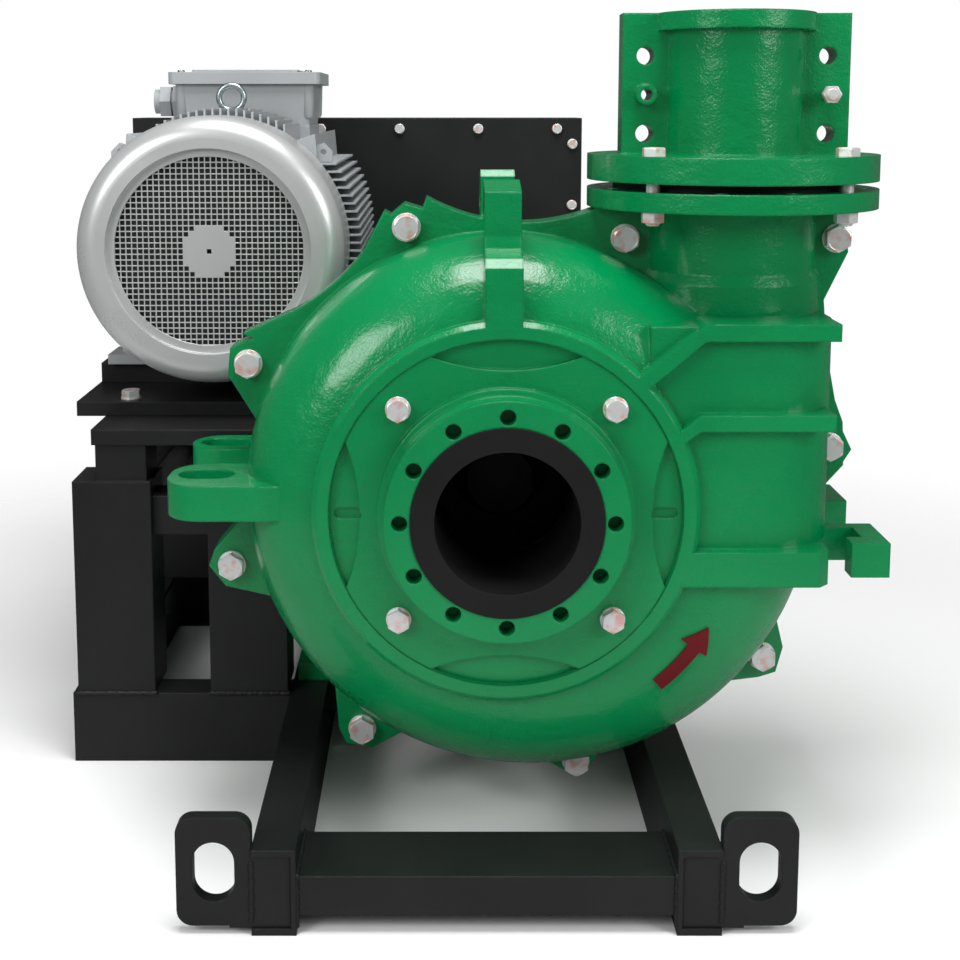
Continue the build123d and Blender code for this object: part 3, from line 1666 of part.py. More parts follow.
def pulley(pitch_d, bore_d, x, z):
    """Grooved pulley on its shaft, with a plain web and hub."""
    outer = pitch_d / 2 + 3.5
    half_top = belt_top_width / 2 + 0.45
    half_low = half_top - groove_depth * math.tan(math.radians(groove_angle / 2))
    rim = [(outer, belt_plane_y)]
    for index in range(belt_count):
        centre = belt_plane_y + pulley_edge + index * belt_spacing
        rim += [
            (outer, centre - half_top),
            (outer - groove_depth, centre - half_low),
            (outer - groove_depth, centre + half_low),
            (outer, centre + half_top),
        ]
    rim.append((outer, belt_plane_y + pulley_width))
    rim_inner = outer - groove_depth - 14
    hub = bore_d / 2 + 26
    middle = belt_plane_y + pulley_width / 2
    if rim_inner - hub > 40:
        inside = [
            (rim_inner, belt_plane_y + pulley_width),
            (rim_inner, middle + pulley_web / 2),
            (hub, middle + pulley_web / 2),
            (hub, belt_plane_y + pulley_width),
            (bore_d / 2 + running_gap, belt_plane_y + pulley_width),
            (bore_d / 2 + running_gap, belt_plane_y),
            (hub, belt_plane_y),
            (hub, middle - pulley_web / 2),
            (rim_inner, middle - pulley_web / 2),
            (rim_inner, belt_plane_y),
        ]
    else:
        inside = [
            (bore_d / 2 + running_gap, belt_plane_y + pulley_width),
            (bore_d / 2 + running_gap, belt_plane_y),
        ]
    return turned(rim + inside, x, z)


finish(pulley(pump_pulley_d, shaft_end_d, 0, 0), "pump_pulley")
finish(pulley(motor_pulley_d, motor_shaft_d, motor_x, motor_z), "motor_pulley")

# Belts: closed loops of trapezium section round both pulleys
loop_pump = pump_pulley_d / 2 + 3.5
loop_motor = motor_pulley_d / 2 + 3.5
line_angle = math.degrees(math.atan2(motor_z, motor_x))
wrap_turn = math.degrees(math.acos((loop_pump - loop_motor) / math.hypot(motor_x, motor_z)))
belt_low_width = belt_top_width - 2 * belt_height * math.tan(math.radians(groove_angle / 2))
with BuildPart() as v_belts:
    for index in range(belt_count):
        belt_y = belt_plane_y + pulley_edge + index * belt_spacing
        with BuildLine(across(belt_y)) as loop:
            first = CenterArc((0, 0), loop_pump, line_angle + wrap_turn, 360 - 2 * wrap_turn)
            second = CenterArc((motor_x, motor_z), loop_motor, line_angle - wrap_turn, 2 * wrap_turn)
            Line(first @ 1, second @ 0)
            Line(second @ 1, first @ 0)
        start = loop.line.edges()[0]
        section_plane = Plane(
            origin=start @ 0,
            x_dir=(0, 1, 0),
            z_dir=start % 0,
        )
        with BuildSketch(section_plane):
            with BuildLine():
                Polyline(
                    (-belt_top_width / 2, 0),
                    (belt_top_width / 2, 0),
                    (belt_low_width / 2, belt_height),
                    (-belt_low_width / 2, belt_height),
                    close=True,
                )
            make_face()
        sweep(path=loop.line)
finish(v_belts.part, "v_belts")

# Belt guard: a flanged front sheet and a box behind it
guard_corners = [
    (guard_left_x, guard_top_z),
    (guard_right_x, guard_top_z),
    (guard_right_x, guard_bottom_z),
    (-190, guard_bottom_z),
    (guard_left_x, 80),
]
with BuildPart() as guard_plate:
    with BuildSketch(across(guard_front_y + guard_sheet)):
        with BuildLine():
            Polyline(*guard_corners, close=True)
        make_face()
        Circle(shaft_end_d / 2 + 20, mode=Mode.SUBTRACT)
        with Locations((motor_x, motor_z)):
            Circle(motor_shaft_d / 2 + 30, mode=Mode.SUBTRACT)
    extrude(amount=guard_sheet)
finish(guard_plate.part, "guard_plate")

with BuildPart() as guard_cover:
    with BuildSketch(across(guard_front_y + guard_depth)):
        with BuildLine():
            Polyline(*guard_corners, close=True)
        make_face()
    extrude(amount=guard_depth - guard_sheet)
    with BuildSketch(across(guard_front_y + guard_depth - guard_sheet)) as inside:
        with BuildLine():
            Polyline(*guard_corners, close=True)
        make_face()
        offset(amount=-guard_sheet, kind=Kind.INTERSECTION, mode=Mode.REPLACE)
    extrude(amount=guard_depth - 2 * guard_sheet, mode=Mode.SUBTRACT)
finish(guard_cover.part, "guard_cover")

guard_bolt_spots = [(-347 + 168.5 * index, guard_top_z - 23) for index in range(-2, 4)]
guard_bolt_spots += [(guard_right_x - 20, guard_top_z - 55 - 131 * index) for index in range(5)]
with BuildPart() as guard_bolts:
    for x, z in guard_bolt_spots:
        add(hex_bolt(12.0, 0, across_at(x, guard_front_y, z), nut=False))
finish(guard_bolts.part, "guard_bolts")

# Legs that stand on the rear crossbar and carry the guard
leg_y = guard_front_y + 50
with BuildPart() as guard_legs:
    for leg_x in (-150.0, 150.0):
        with BuildSketch(Plane.XY.offset(rail_top_z)):
            with BuildLine():
                Polyline(
                    (leg_x - 25, leg_y),
                    (leg_x + 25, leg_y),
                    (leg_x + 25, leg_y + 6),
                    (leg_x - 19, leg_y + 6),
                    (leg_x - 19, leg_y + 50),
                    (leg_x - 25, leg_y + 50),
                    close=True,
                )
            make_face()
        extrude(amount=guard_bottom_z - rail_top_z)
finish(guard_legs.part, "guard_legs")
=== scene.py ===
"""Slurry pump set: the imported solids, dressed as the real machine and set up for its picture."""

import math

import bmesh
import bpy
from mathutils import Matrix, Vector
from mathutils.bvhtree import BVHTree


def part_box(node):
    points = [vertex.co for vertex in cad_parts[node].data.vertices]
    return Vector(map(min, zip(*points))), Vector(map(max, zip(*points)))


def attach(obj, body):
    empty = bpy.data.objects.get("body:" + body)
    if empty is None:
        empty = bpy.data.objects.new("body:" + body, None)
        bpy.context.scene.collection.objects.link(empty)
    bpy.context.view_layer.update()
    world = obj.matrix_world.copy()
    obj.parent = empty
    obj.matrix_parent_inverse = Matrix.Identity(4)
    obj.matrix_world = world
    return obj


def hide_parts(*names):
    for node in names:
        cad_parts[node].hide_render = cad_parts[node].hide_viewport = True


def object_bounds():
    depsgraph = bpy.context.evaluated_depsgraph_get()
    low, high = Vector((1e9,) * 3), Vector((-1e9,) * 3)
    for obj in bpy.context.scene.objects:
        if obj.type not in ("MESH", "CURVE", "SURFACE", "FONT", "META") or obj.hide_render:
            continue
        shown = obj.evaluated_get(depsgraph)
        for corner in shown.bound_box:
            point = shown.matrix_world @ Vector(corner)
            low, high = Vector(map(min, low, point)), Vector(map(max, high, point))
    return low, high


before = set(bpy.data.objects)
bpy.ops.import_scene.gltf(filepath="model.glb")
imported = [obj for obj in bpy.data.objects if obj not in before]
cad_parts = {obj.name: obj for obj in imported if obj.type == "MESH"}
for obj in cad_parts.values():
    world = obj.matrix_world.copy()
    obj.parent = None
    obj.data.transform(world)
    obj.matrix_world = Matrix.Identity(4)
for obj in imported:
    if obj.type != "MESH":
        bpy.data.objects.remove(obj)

cad_box = [list(corner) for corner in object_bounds()]

# Camera, floor and studio light.
# The camera stands where the photographer stood, a little above the pump and looking level into it,
# with its frame moved down. The floor and the backdrop are one white sheet.
floor_z = cad_box[0][2]
camera_data = bpy.data.cameras.new("camera")
camera_data.lens = 53.46
camera_data.sensor_width = 36.0
camera_data.shift_x = 0.0417
camera_data.shift_y = -0.20
camera_data.clip_end = 50.0
camera = bpy.data.objects.new("camera", camera_data)
camera.location = (-0.092, -1.883, 0.562)
camera_dip = 7.21
camera.rotation_euler = (math.radians(90.0 - camera_dip), 0.0, 0.0)
bpy.context.scene.collection.objects.link(camera)
bpy.context.scene.camera = camera
bpy.context.scene.view_settings.view_transform = "Standard"

floor_mesh = bpy.data.meshes.new("floor")
floor_half_width, floor_front, floor_rear = 14, -10, 18
floor_corners = [
    (-floor_half_width, floor_front, floor_z), (floor_half_width, floor_front, floor_z),
    (floor_half_width, floor_rear, floor_z), (-floor_half_width, floor_rear, floor_z),
]
floor_mesh.from_pydata(floor_corners, [], [(0, 1, 2, 3)])
floor = bpy.data.objects.new("floor", floor_mesh)
bpy.context.scene.collection.objects.link(floor)
floor_paint = bpy.data.materials.new("floor white")
floor_paint.use_nodes = True
floor_mesh.materials.append(floor_paint)
floor_nodes = floor_paint.node_tree.nodes
floor_links = floor_paint.node_tree.links
floor_shader = floor_nodes["Principled BSDF"]
floor_shader.inputs["Roughness"].default_value = 0.7
# The sheet fades into the white backdrop a few metres away from the pump
spot = floor_nodes.new("ShaderNodeTexCoord")
away = floor_nodes.new("ShaderNodeVectorMath")
away.operation = "DISTANCE"
away.inputs[1].default_value = (-0.1, 0.3, floor_z)
fade = floor_nodes.new("ShaderNodeMapRange")
fade.interpolation_type = "SMOOTHSTEP"
fade.inputs["From Min"].default_value = 1.1
fade.inputs["From Max"].default_value = 2.6
clear = floor_nodes.new("ShaderNodeBsdfTransparent")
sheet = floor_nodes.new("ShaderNodeMixShader")
# Glossy paint sees the sheet darker than the camera does, so the undersides keep their colour
floor_rays = floor_nodes.new("ShaderNodeLightPath")
floor_shade = floor_nodes.new("ShaderNodeMath")
floor_shade.operation = "MULTIPLY_ADD"
floor_white, floor_in_gloss = 0.95, 0.33
floor_shade.inputs[1].default_value = floor_in_gloss - floor_white
floor_shade.inputs[2].default_value = floor_white
floor_links.new(floor_rays.outputs["Is Glossy Ray"], floor_shade.inputs[0])
floor_links.new(floor_shade.outputs[0], floor_shader.inputs["Base Color"])
floor_links.new(spot.outputs["Object"], away.inputs[0])
floor_links.new(away.outputs["Value"], fade.inputs["Value"])
floor_links.new(fade.outputs["Result"], sheet.inputs[0])
floor_links.new(floor_shader.outputs[0], sheet.inputs[1])
floor_links.new(clear.outputs[0], sheet.inputs[2])
floor_links.new(sheet.outputs[0], floor_nodes["Material Output"].inputs["Surface"])

world = bpy.data.worlds.new("studio")
bpy.context.scene.world = world
world.use_nodes = True
world_nodes = world.node_tree.nodes
world_links = world.node_tree.links
world_nodes.clear()
light_path = world_nodes.new("ShaderNodeLightPath")
seen = world_nodes.new("ShaderNodeMath")
seen.operation = "MAXIMUM"
world_links.new(light_path.outputs["Is Camera Ray"], seen.inputs[0])
world_links.new(light_path.outputs["Is Transmission Ray"], seen.inputs[1])
white = world_nodes.new("ShaderNodeBackground")
white.inputs["Color"].default_value = (1, 1, 1, 1)
white.inputs["Strength"].default_value = 1.0
soft = world_nodes.new("ShaderNodeBackground")
soft.inputs["Color"].default_value = (1, 1, 1, 1)
# Polished surfaces see a darker room than the soft light that fills it
dim = world_nodes.new("ShaderNodeMath")
dim.operation = "MULTIPLY_ADD"
room_light, room_in_gloss = 0.43, 0.10
dim.inputs[1].default_value = room_in_gloss - room_light
dim.inputs[2].default_value = room_light
world_links.new(light_path.outputs["Is Glossy Ray"], dim.inputs[0])
world_links.new(dim.outputs[0], soft.inputs["Strength"])
either = world_nodes.new("ShaderNodeMixShader")
world_out = world_nodes.new("ShaderNodeOutputWorld")
world_links.new(seen.outputs[0], either.inputs[0])
world_links.new(soft.outputs[0], either.inputs[1])
world_links.new(white.outputs[0], either.inputs[2])
world_links.new(either.outputs[0], world_out.inputs["Surface"])

for name, place, aim, size, power in (
    ("left softbox", (-2.6, -2.4, 1.9), (0.0, 0.2, 0.0), 1.5, 58.0),
    ("right softbox", (2.7, -1.9, 1.6), (0.1, 0.2, 0.1), 1.3, 46.0),
    ("overhead softbox", (0.0, -0.3, 3.0), (0.0, 0.3, 0.0), 1.5, 88.0),
):
    lamp = bpy.data.lights.new(name, "AREA")
    lamp.shape = "SQUARE"
    lamp.size = size
    lamp.energy = power
    lamp_object = bpy.data.objects.new(name, lamp)
    lamp_object.location = place
    lamp_object.rotation_euler = (Vector(aim) - Vector(place)).to_track_quat("-Z", "Y").to_euler()
    bpy.context.scene.collection.objects.link(lamp_object)

# Green castings.
# Both casing halves, the cover, the spool, the pedestal and the bearing housing are grey iron,
# sprayed with thick glossy enamel that keeps the unevenness of the sand mould under its skin.
green_nodes = (
    "casing_front", "casing_rear", "suction_cover", "discharge_spool",
    "pedestal", "bearing_housing", "housing_straps", "end_covers",
)


def sprayed_skin_group():
    """Node group of a sprayed coat: colour drift, gloss drift and the height of its orange peel."""
    tree = bpy.data.node_groups.new("sprayed skin", "ShaderNodeTree")
    face = tree.interface
    for label, kind, value in (
        ("Colour", "NodeSocketColor", (0.5, 0.5, 0.5, 1)),
        ("Drift", "NodeSocketFloat", 0.1),
        ("Gloss", "NodeSocketFloat", 0.3),
        ("Peel Size", "NodeSocketFloat", 160.0),
        ("Mould Size", "NodeSocketFloat", 28.0),
        ("Mould Depth", "NodeSocketFloat", 0.5),
    ):
        socket = face.new_socket(name=label, in_out="INPUT", socket_type=kind)
        socket.default_value = value
    face.new_socket(name="Colour", in_out="OUTPUT", socket_type="NodeSocketColor")
    face.new_socket(name="Roughness", in_out="OUTPUT", socket_type="NodeSocketFloat")
    face.new_socket(name="Height", in_out="OUTPUT", socket_type="NodeSocketFloat")
    nodes, links = tree.nodes, tree.links
    inside = nodes.new("NodeGroupInput")
    outside = nodes.new("NodeGroupOutput")
    place = nodes.new("ShaderNodeTexCoord")
    cloud = nodes.new("ShaderNodeTexNoise")
    cloud.inputs["Scale"].default_value = 5.0
    cloud.inputs["Detail"].default_value = 5.0
    links.new(place.outputs["Object"], cloud.inputs["Vector"])
    spread = nodes.new("ShaderNodeMapRange")
    spread.inputs["From Min"].default_value = 0.3
    spread.inputs["From Max"].default_value = 0.7
    spread.inputs["To Min"].default_value = -1.0
    spread.inputs["To Max"].default_value = 1.0
    links.new(cloud.outputs["Fac"], spread.inputs["Value"])
    shift = nodes.new("ShaderNodeMath")
    shift.operation = "MULTIPLY_ADD"
    shift.inputs[2].default_value = 1.0
    links.new(spread.outputs["Result"], shift.inputs[0])
    links.new(inside.outputs["Drift"], shift.inputs[1])
    tint = nodes.new("ShaderNodeVectorMath")
    tint.operation = "SCALE"
    links.new(inside.outputs["Colour"], tint.inputs[0])
    links.new(shift.outputs[0], tint.inputs["Scale"])
    links.new(tint.outputs["Vector"], outside.inputs["Colour"])
    gloss = nodes.new("ShaderNodeMath")
    gloss.operation = "MULTIPLY_ADD"
    gloss.inputs[1].default_value = 0.05
    links.new(spread.outputs["Result"], gloss.inputs[0])
    links.new(inside.outputs["Gloss"], gloss.inputs[2])
    links.new(gloss.outputs[0], outside.inputs["Roughness"])
    peel = nodes.new("ShaderNodeTexNoise")
    peel.inputs["Detail"].default_value = 2.0
    links.new(place.outputs["Object"], peel.inputs["Vector"])
    links.new(inside.outputs["Peel Size"], peel.inputs["Scale"])
    mould = nodes.new("ShaderNodeTexNoise")
    mould.inputs["Detail"].default_value = 3.0
    links.new(place.outputs["Object"], mould.inputs["Vector"])
    links.new(inside.outputs["Mould Size"], mould.inputs["Scale"])
    deep = nodes.new("ShaderNodeMath")
    deep.operation = "MULTIPLY_ADD"
    links.new(mould.outputs["Fac"], deep.inputs[0])
    links.new(inside.outputs["Mould Depth"], deep.inputs[1])
    slight = nodes.new("ShaderNodeMath")
    slight.operation = "MULTIPLY"
    slight.inputs[1].default_value = 0.30
    links.new(peel.outputs["Fac"], slight.inputs[0])
    links.new(slight.outputs[0], deep.inputs[2])
    links.new(deep.outputs[0], outside.inputs["Height"])
    return tree


sprayed_skin = sprayed_skin_group()


def sprayed_paint(
    name, colour, drift, gloss, peel, mould, depth, bump, coat=0.0, metal=0.0, edge=0.0015, shine=0.5
):
    """Material of a sprayed coat, its shader, bump and soft edges around the shared skin group.

    drift varies the colour, gloss is the roughness, peel and mould are texture scales, depth weighs
    the mould against the peel, bump and edge are lengths in metres.
    """
    paint = bpy.data.materials.new(name)
    paint.use_nodes = True
    nodes, links = paint.node_tree.nodes, paint.node_tree.links
    shader = nodes["Principled BSDF"]
    skin = nodes.new("ShaderNodeGroup")
    skin.node_tree = sprayed_skin
    skin.inputs["Colour"].default_value = (*colour, 1)
    skin.inputs["Drift"].default_value = drift
    skin.inputs["Gloss"].default_value = gloss
    skin.inputs["Peel Size"].default_value = peel
    skin.inputs["Mould Size"].default_value = mould
    skin.inputs["Mould Depth"].default_value = depth
    relief = nodes.new("ShaderNodeBump")
    relief.inputs["Strength"].default_value = 1.0
    relief.inputs["Distance"].default_value = bump
    rounding = nodes.new("ShaderNodeBevel")
    rounding.samples = 4
    rounding.inputs["Radius"].default_value = edge
    links.new(rounding.outputs["Normal"], relief.inputs["Normal"])
    links.new(skin.outputs["Colour"], shader.inputs["Base Color"])
    links.new(skin.outputs["Roughness"], shader.inputs["Roughness"])
    links.new(skin.outputs["Height"], relief.inputs["Height"])
    links.new(relief.outputs["Normal"], shader.inputs["Normal"])
    shader.inputs["Coat Weight"].default_value = coat
    shader.inputs["Coat Roughness"].default_value = 0.12
    shader.inputs["Metallic"].default_value = metal
    shader.inputs["Specular IOR Level"].default_value = shine
    return paint


def coat_nodes(paint, names):
    """Put one material on the CAD nodes named."""
    for name in names:
        mesh = bpy.data.objects[name].data
        mesh.materials.clear()
        mesh.materials.append(paint)


green_enamel = sprayed_paint(
    "green enamel", (0.0, 0.212, 0.061), drift=0.08, gloss=0.25, peel=260.0, mould=36.0, depth=1.0,
    bump=0.0022, coat=0.45, edge=0.005, shine=0.30
)
coat_nodes(green_enamel, green_nodes)

# Rubber linings, the flange seal and the belts.
# Moulded black rubber: dull, very slightly mottled.
rubber_nodes = ("impeller", "suction_liner", "volute_liner", "back_liner", "discharge_seal", "v_belts")
black_rubber = sprayed_paint(
    "black rubber", (0.006, 0.006, 0.006), drift=0.2, gloss=0.55, peel=400.0, mould=60.0, depth=0.4,
    bump=0.0006, shine=0.35
)
coat_nodes(black_rubber, rubber_nodes)

# Base frame, motor stand and belt guard.
# Welded mild steel under satin black paint.
black_nodes = (
    "base_rail_left", "base_rail_right", "front_crossbar", "rear_crossbars", "lifting_lugs",
    "stand_beams", "stand_posts", "stand_crossbeams", "stand_top_plate", "motor_plate",
    "slide_rails", "guard_plate", "guard_cover", "guard_legs",
)
black_paint = sprayed_paint(
    "satin black", (0.0125, 0.0125, 0.0130), drift=0.18, gloss=0.40, peel=500.0, mould=14.0, depth=0.5,
    bump=0.0006, edge=0.004, shine=0.3
)
coat_nodes(black_paint, black_nodes)

# Motor housing and terminal box.
# Cast and pressed aluminium with a light grey powder coat.
grey_nodes = ("motor_frame", "drive_end_shield", "fan_end_shield", "terminal_box", "terminal_lid")
grey_paint = sprayed_paint(
    "motor grey", (0.36, 0.38, 0.39), drift=0.05, gloss=0.40, peel=700.0, mould=40.0, depth=0.5,
    bump=0.0003, edge=0.002
)
coat_nodes(grey_paint, grey_nodes)
cowl_paint = sprayed_paint(
    "cowl silver", (0.65, 0.66, 0.66), drift=0.03, gloss=0.30, peel=900.0, mould=30.0, depth=0.3,
    bump=0.0002, metal=0.55
)
coat_nodes(cowl_paint, ("fan_cowl", "cowl_grille"))

# Bolts, studs, nuts and the eye bolt.
# Zinc-plated steel with a faint warm tint.
zinc_nodes = (
    "casing_bolts", "cover_bolts", "pedestal_bolts", "spool_bolts", "jack_stud", "plate_bolts",
    "motor_bolts", "guard_bolts", "gland_nuts", "gland_studs",
)
zinc = sprayed_paint(
    "zinc plate", (0.84, 0.84, 0.84), drift=0.06, gloss=0.30, peel=900.0, mould=90.0, depth=0.3,
    bump=0.0003, metal=0.50
)
coat_nodes(zinc, zinc_nodes)
coat_nodes(grey_paint, ("cable_gland",))
galvanised = sprayed_paint(
    "galvanised", (0.52, 0.60, 0.62), drift=0.08, gloss=0.30, peel=700.0, mould=90.0, depth=0.3,
    bump=0.0003, metal=1.0
)
coat_nodes(galvanised, ("eye_bolt",))
# Patches of the plating shine warm, as yellow passivated zinc does where it is thin
zinc_tree = zinc.node_tree
patch_place = zinc_tree.nodes.new("ShaderNodeTexCoord")
patch = zinc_tree.nodes.new("ShaderNodeTexNoise")
patch.inputs["Scale"].default_value = 55.0
patch_edge = zinc_tree.nodes.new("ShaderNodeMapRange")
patch_edge.inputs["From Min"].default_value = 0.50
patch_edge.inputs["From Max"].default_value = 0.66
warm = zinc_tree.nodes.new("ShaderNodeMix")
warm.data_type = "RGBA"
warm.inputs[7].default_value = (0.88, 0.52, 0.47, 1)
skin_colour = zinc_tree.nodes["Group"].outputs["Colour"]
zinc_tree.links.new(patch_place.outputs["Object"], patch.inputs["Vector"])
zinc_tree.links.new(patch.outputs["Fac"], patch_edge.inputs["Value"])
zinc_tree.links.new(patch_edge.outputs["Result"], warm.inputs[0])
zinc_tree.links.new(skin_colour, warm.inputs[6])
zinc_tree.links.new(warm.outputs[2], zinc_tree.nodes["Principled BSDF"].inputs["Base Color"])

# Shafts, bearings and other turned steel, and the bare castings.
steel_nodes = (
    "shaft", "shaft_sleeve", "bearing_outer_rings", "bearing_inner_rings", "bearing_rollers", "motor_rotor",
)
turned_steel = sprayed_paint(
    "turned steel", (0.46, 0.46, 0.47), drift=0.06, gloss=0.28, peel=900.0, mould=30.0, depth=0.2,
    bump=0.0002, metal=1.0
)
coat_nodes(turned_steel, steel_nodes)
iron_nodes = ("stuffing_box", "gland_follower", "pump_pulley", "motor_pulley")
bare_iron = sprayed_paint(
    "bare iron", (0.10, 0.10, 0.10), drift=0.2, gloss=0.5, peel=300.0, mould=40.0, depth=0.8,
    bump=0.001, metal=0.6
)
coat_nodes(bare_iron, iron_nodes)
packing_fibre = sprayed_paint(
    "packing fibre", (0.22, 0.19, 0.13), drift=0.3, gloss=0.8, peel=500.0, mould=120.0, depth=1.0,
    bump=0.001
)
coat_nodes(packing_fibre, ("packing_rings",))
# Black plastic of the fan. The same black also serves as painted shade behind the grille and for the drain
# hole of the cover.
plastic_and_painted_shade = sprayed_paint(
    "fan plastic and painted shade", (0.02, 0.02, 0.02), drift=0.1, gloss=0.5, peel=400.0, mould=60.0, depth=0.3,
    bump=0.0003
)
coat_nodes(plastic_and_painted_shade, ("motor_fan",))

# Bolts with forged heads.
# Hexagon heads and nuts with the round chamfer of a real bolt, bevelled washers and rounded thread
# ends, built on the places of the CAD bolts.
corner_steps = 48
chamfer_slope = 0.62


def lathe(form, seat, out, rings):
    """Round or hexagonal body standing on seat along out, from rings of (half width, height, kind)."""
    turn = out.to_track_quat("Z", "Y").to_matrix()
    loops = []
    for width, height, kind in rings:
        loop = []
        for step in range(corner_steps):
            angle = 2 * math.pi * step / corner_steps
            hexagon = 1 / math.cos((angle + math.pi / 6) % (math.pi / 3) - math.pi / 6)
            radius = width * hexagon if kind else width
            drop = (radius - width) * chamfer_slope if kind == 2 else 0.0
            local = Vector((radius * math.cos(angle), radius * math.sin(angle), height - drop))
            loop.append(form.verts.new(seat + turn @ local))
        loops.append(loop)
    for low, high in zip(loops, loops[1:]):
        for step in range(corner_steps):
            after = (step + 1) % corner_steps
            form.faces.new((low[step], low[after], high[after], high[step]))
    form.faces.new(loops[-1])
    form.faces.new(list(reversed(loops[0])))


def linked_piece(name, form, paint, sharp=None):
    """Object from a form in one paint, shaded smooth up to the sharp angle where one is given."""
    if sharp is not None:
        for face in form.faces:
            face.smooth = True
    mesh = bpy.data.meshes.new(name)
    form.to_mesh(mesh)
    form.free()
    mesh.materials.append(paint)
    if sharp is not None:
        mesh.set_sharp_from_angle(angle=math.radians(sharp))
    piece = bpy.data.objects.new(name, mesh)
    bpy.context.scene.collection.objects.link(piece)
    return piece


round_ring, hexagon_ring, chamfered_ring = 0, 1, 2
head_share, washer_share, flats_share, rim_share, nut_share = 0.62, 0.16, 0.75, 0.9, 0.8
face_share, dish_share = 0.93, 0.90
for name, size, axis, washer, grip in (
    ("casing_bolts", 0.024, (0, -1, 0), True, 0.056),
    ("cover_bolts", 0.0197, (0, -1, 0), True, 0.0),
    ("spool_bolts", 0.020, (0, 0, 1), False, 0.078),
    ("plate_bolts", 0.020, (0, 0, 1), True, 0.0),
    ("guard_bolts", 0.012, (0, -1, 0), True, 0.0),
):
    out = Vector(axis)
    solids = bmesh.new()
    solids.from_mesh(bpy.data.objects[name].data)
    bmesh.ops.remove_doubles(solids, verts=solids.verts, dist=0.00002)
    waiting = set(solids.verts)
    places = []
    while waiting:
        island, front = set(), [next(iter(waiting))]
        while front:
            vert = front.pop()
            if vert in island:
                continue
            island.add(vert)
            front += [side.other_vert(vert) for side in vert.link_edges]
        waiting -= island
        low = Vector([min(v.co[k] for v in island) for k in range(3)])
        high = Vector([max(v.co[k] for v in island) for k in range(3)])
        middle = (low + high) / 2
        top = max(v.co.dot(out) for v in island)
        places.append(middle + out * (top - middle.dot(out)))
    solids.free()
    places.sort(key=lambda place: tuple(round(c, 4) for c in place))
    head, disc, half = head_share * size, washer_share * size if washer else 0.0, flats_share * size
    bolt_form = bmesh.new()
    for place in places:
        seat = place - out * (head + disc)
        if washer:
            rim, bevel = rim_share * size, 0.0005
            lathe(bolt_form, seat, out, [
                (rim, 0, round_ring), (rim, disc - bevel, round_ring), (rim - bevel, disc, round_ring),
            ])
        lathe(bolt_form, seat + out * disc, out, [
            (half, 0, hexagon_ring), (half, head - 0.0002, chamfered_ring),
            (face_share * half, head, round_ring), (dish_share * half, head - 0.0004, round_ring),
        ])
        if grip:
            core, tip, point, nut = size / 2, grip + size, 0.002, nut_share * size
            lathe(bolt_form, seat, -out, [
                (core, 0, round_ring), (core, tip - point, round_ring), (core - point, tip, round_ring),
            ])
            lathe(bolt_form, seat - out * grip, -out, [
                (half, 0, hexagon_ring), (half, nut - 0.0002, chamfered_ring),
                (face_share * half, nut, round_ring),
            ])
    bmesh.ops.recalc_face_normals(bolt_form, faces=bolt_form.faces)
    forged = linked_piece(name + "_forged", bolt_form, zinc, sharp=20)
    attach(forged, "pump_set")
    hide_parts(name)

# Rotation arrow.
# A flat cast arrow on the dome, painted dark red. It follows a circle about the shaft, and its
# height comes from the casing under it.
casing_form = bmesh.new()
casing_form.from_mesh(bpy.data.objects["casing_front"].data)
casing_tree = BVHTree.FromBMesh(casing_form)
casing_form.free()
arrow_radius, arrow_step, arrow_proud, arrow_sunk = 0.334, 0.6, 0.004, 0.003
half_lanes = 3
last_lane = 2 * half_lanes
# Angle in degrees and half width, from the tail over the two widths at the barbs to the tip
arrow_rows = [(-49.3, 0.010), (-36.6, 0.010), (-36.5, 0.023), (-30.4, 0.0006)]
arrow_form = bmesh.new()
top_rows, low_rows = [], []
for (start, start_half), (end, end_half) in zip(arrow_rows, arrow_rows[1:]):
    steps = max(1, int(abs(end - start) / arrow_step))
    for step in range(steps + (1 if end == arrow_rows[-1][0] else 0)):
        share = step / steps
        turn = math.radians(start + (end - start) * share)
        half = start_half + (end_half - start_half) * share
        tops, lows = [], []
        for lane in range(last_lane + 1):
            radius = arrow_radius + half * (lane - half_lanes) / half_lanes
            x, z = radius * math.cos(turn), radius * math.sin(turn)
            hit = casing_tree.ray_cast(Vector((x, -0.5, z)), Vector((0, 1, 0)))[0]
            tops.append(arrow_form.verts.new((x, hit.y - arrow_proud, z)))
            lows.append(arrow_form.verts.new((x, hit.y + arrow_sunk, z)))
        top_rows.append(tops)
        low_rows.append(lows)
for row in range(len(top_rows) - 1):
    for lane in range(last_lane):
        a, b = top_rows[row][lane], top_rows[row][lane + 1]
        c, d = top_rows[row + 1][lane + 1], top_rows[row + 1][lane]
        arrow_form.faces.new((a, b, c, d))
    for lane in (0, last_lane):
        a, b = top_rows[row][lane], top_rows[row + 1][lane]
        c, d = low_rows[row + 1][lane], low_rows[row][lane]
        arrow_form.faces.new((a, b, c, d) if lane == 0 else (d, c, b, a))
for row in (0, len(top_rows) - 1):
    for lane in range(last_lane):
        a, b = top_rows[row][lane], top_rows[row][lane + 1]
        c, d = low_rows[row][lane + 1], low_rows[row][lane]
        arrow_form.faces.new((a, b, c, d))
bmesh.ops.recalc_face_normals(arrow_form, faces=arrow_form.faces)
arrow_paint = sprayed_paint(
    "arrow red", (0.125, 0.004, 0.007), drift=0.15, gloss=0.45, peel=500.0, mould=60.0, depth=0.6,
    bump=0.0008, shine=0.2
)
rotation_arrow = linked_piece("rotation_arrow", arrow_form, arrow_paint)
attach(rotation_arrow, "pump_set")
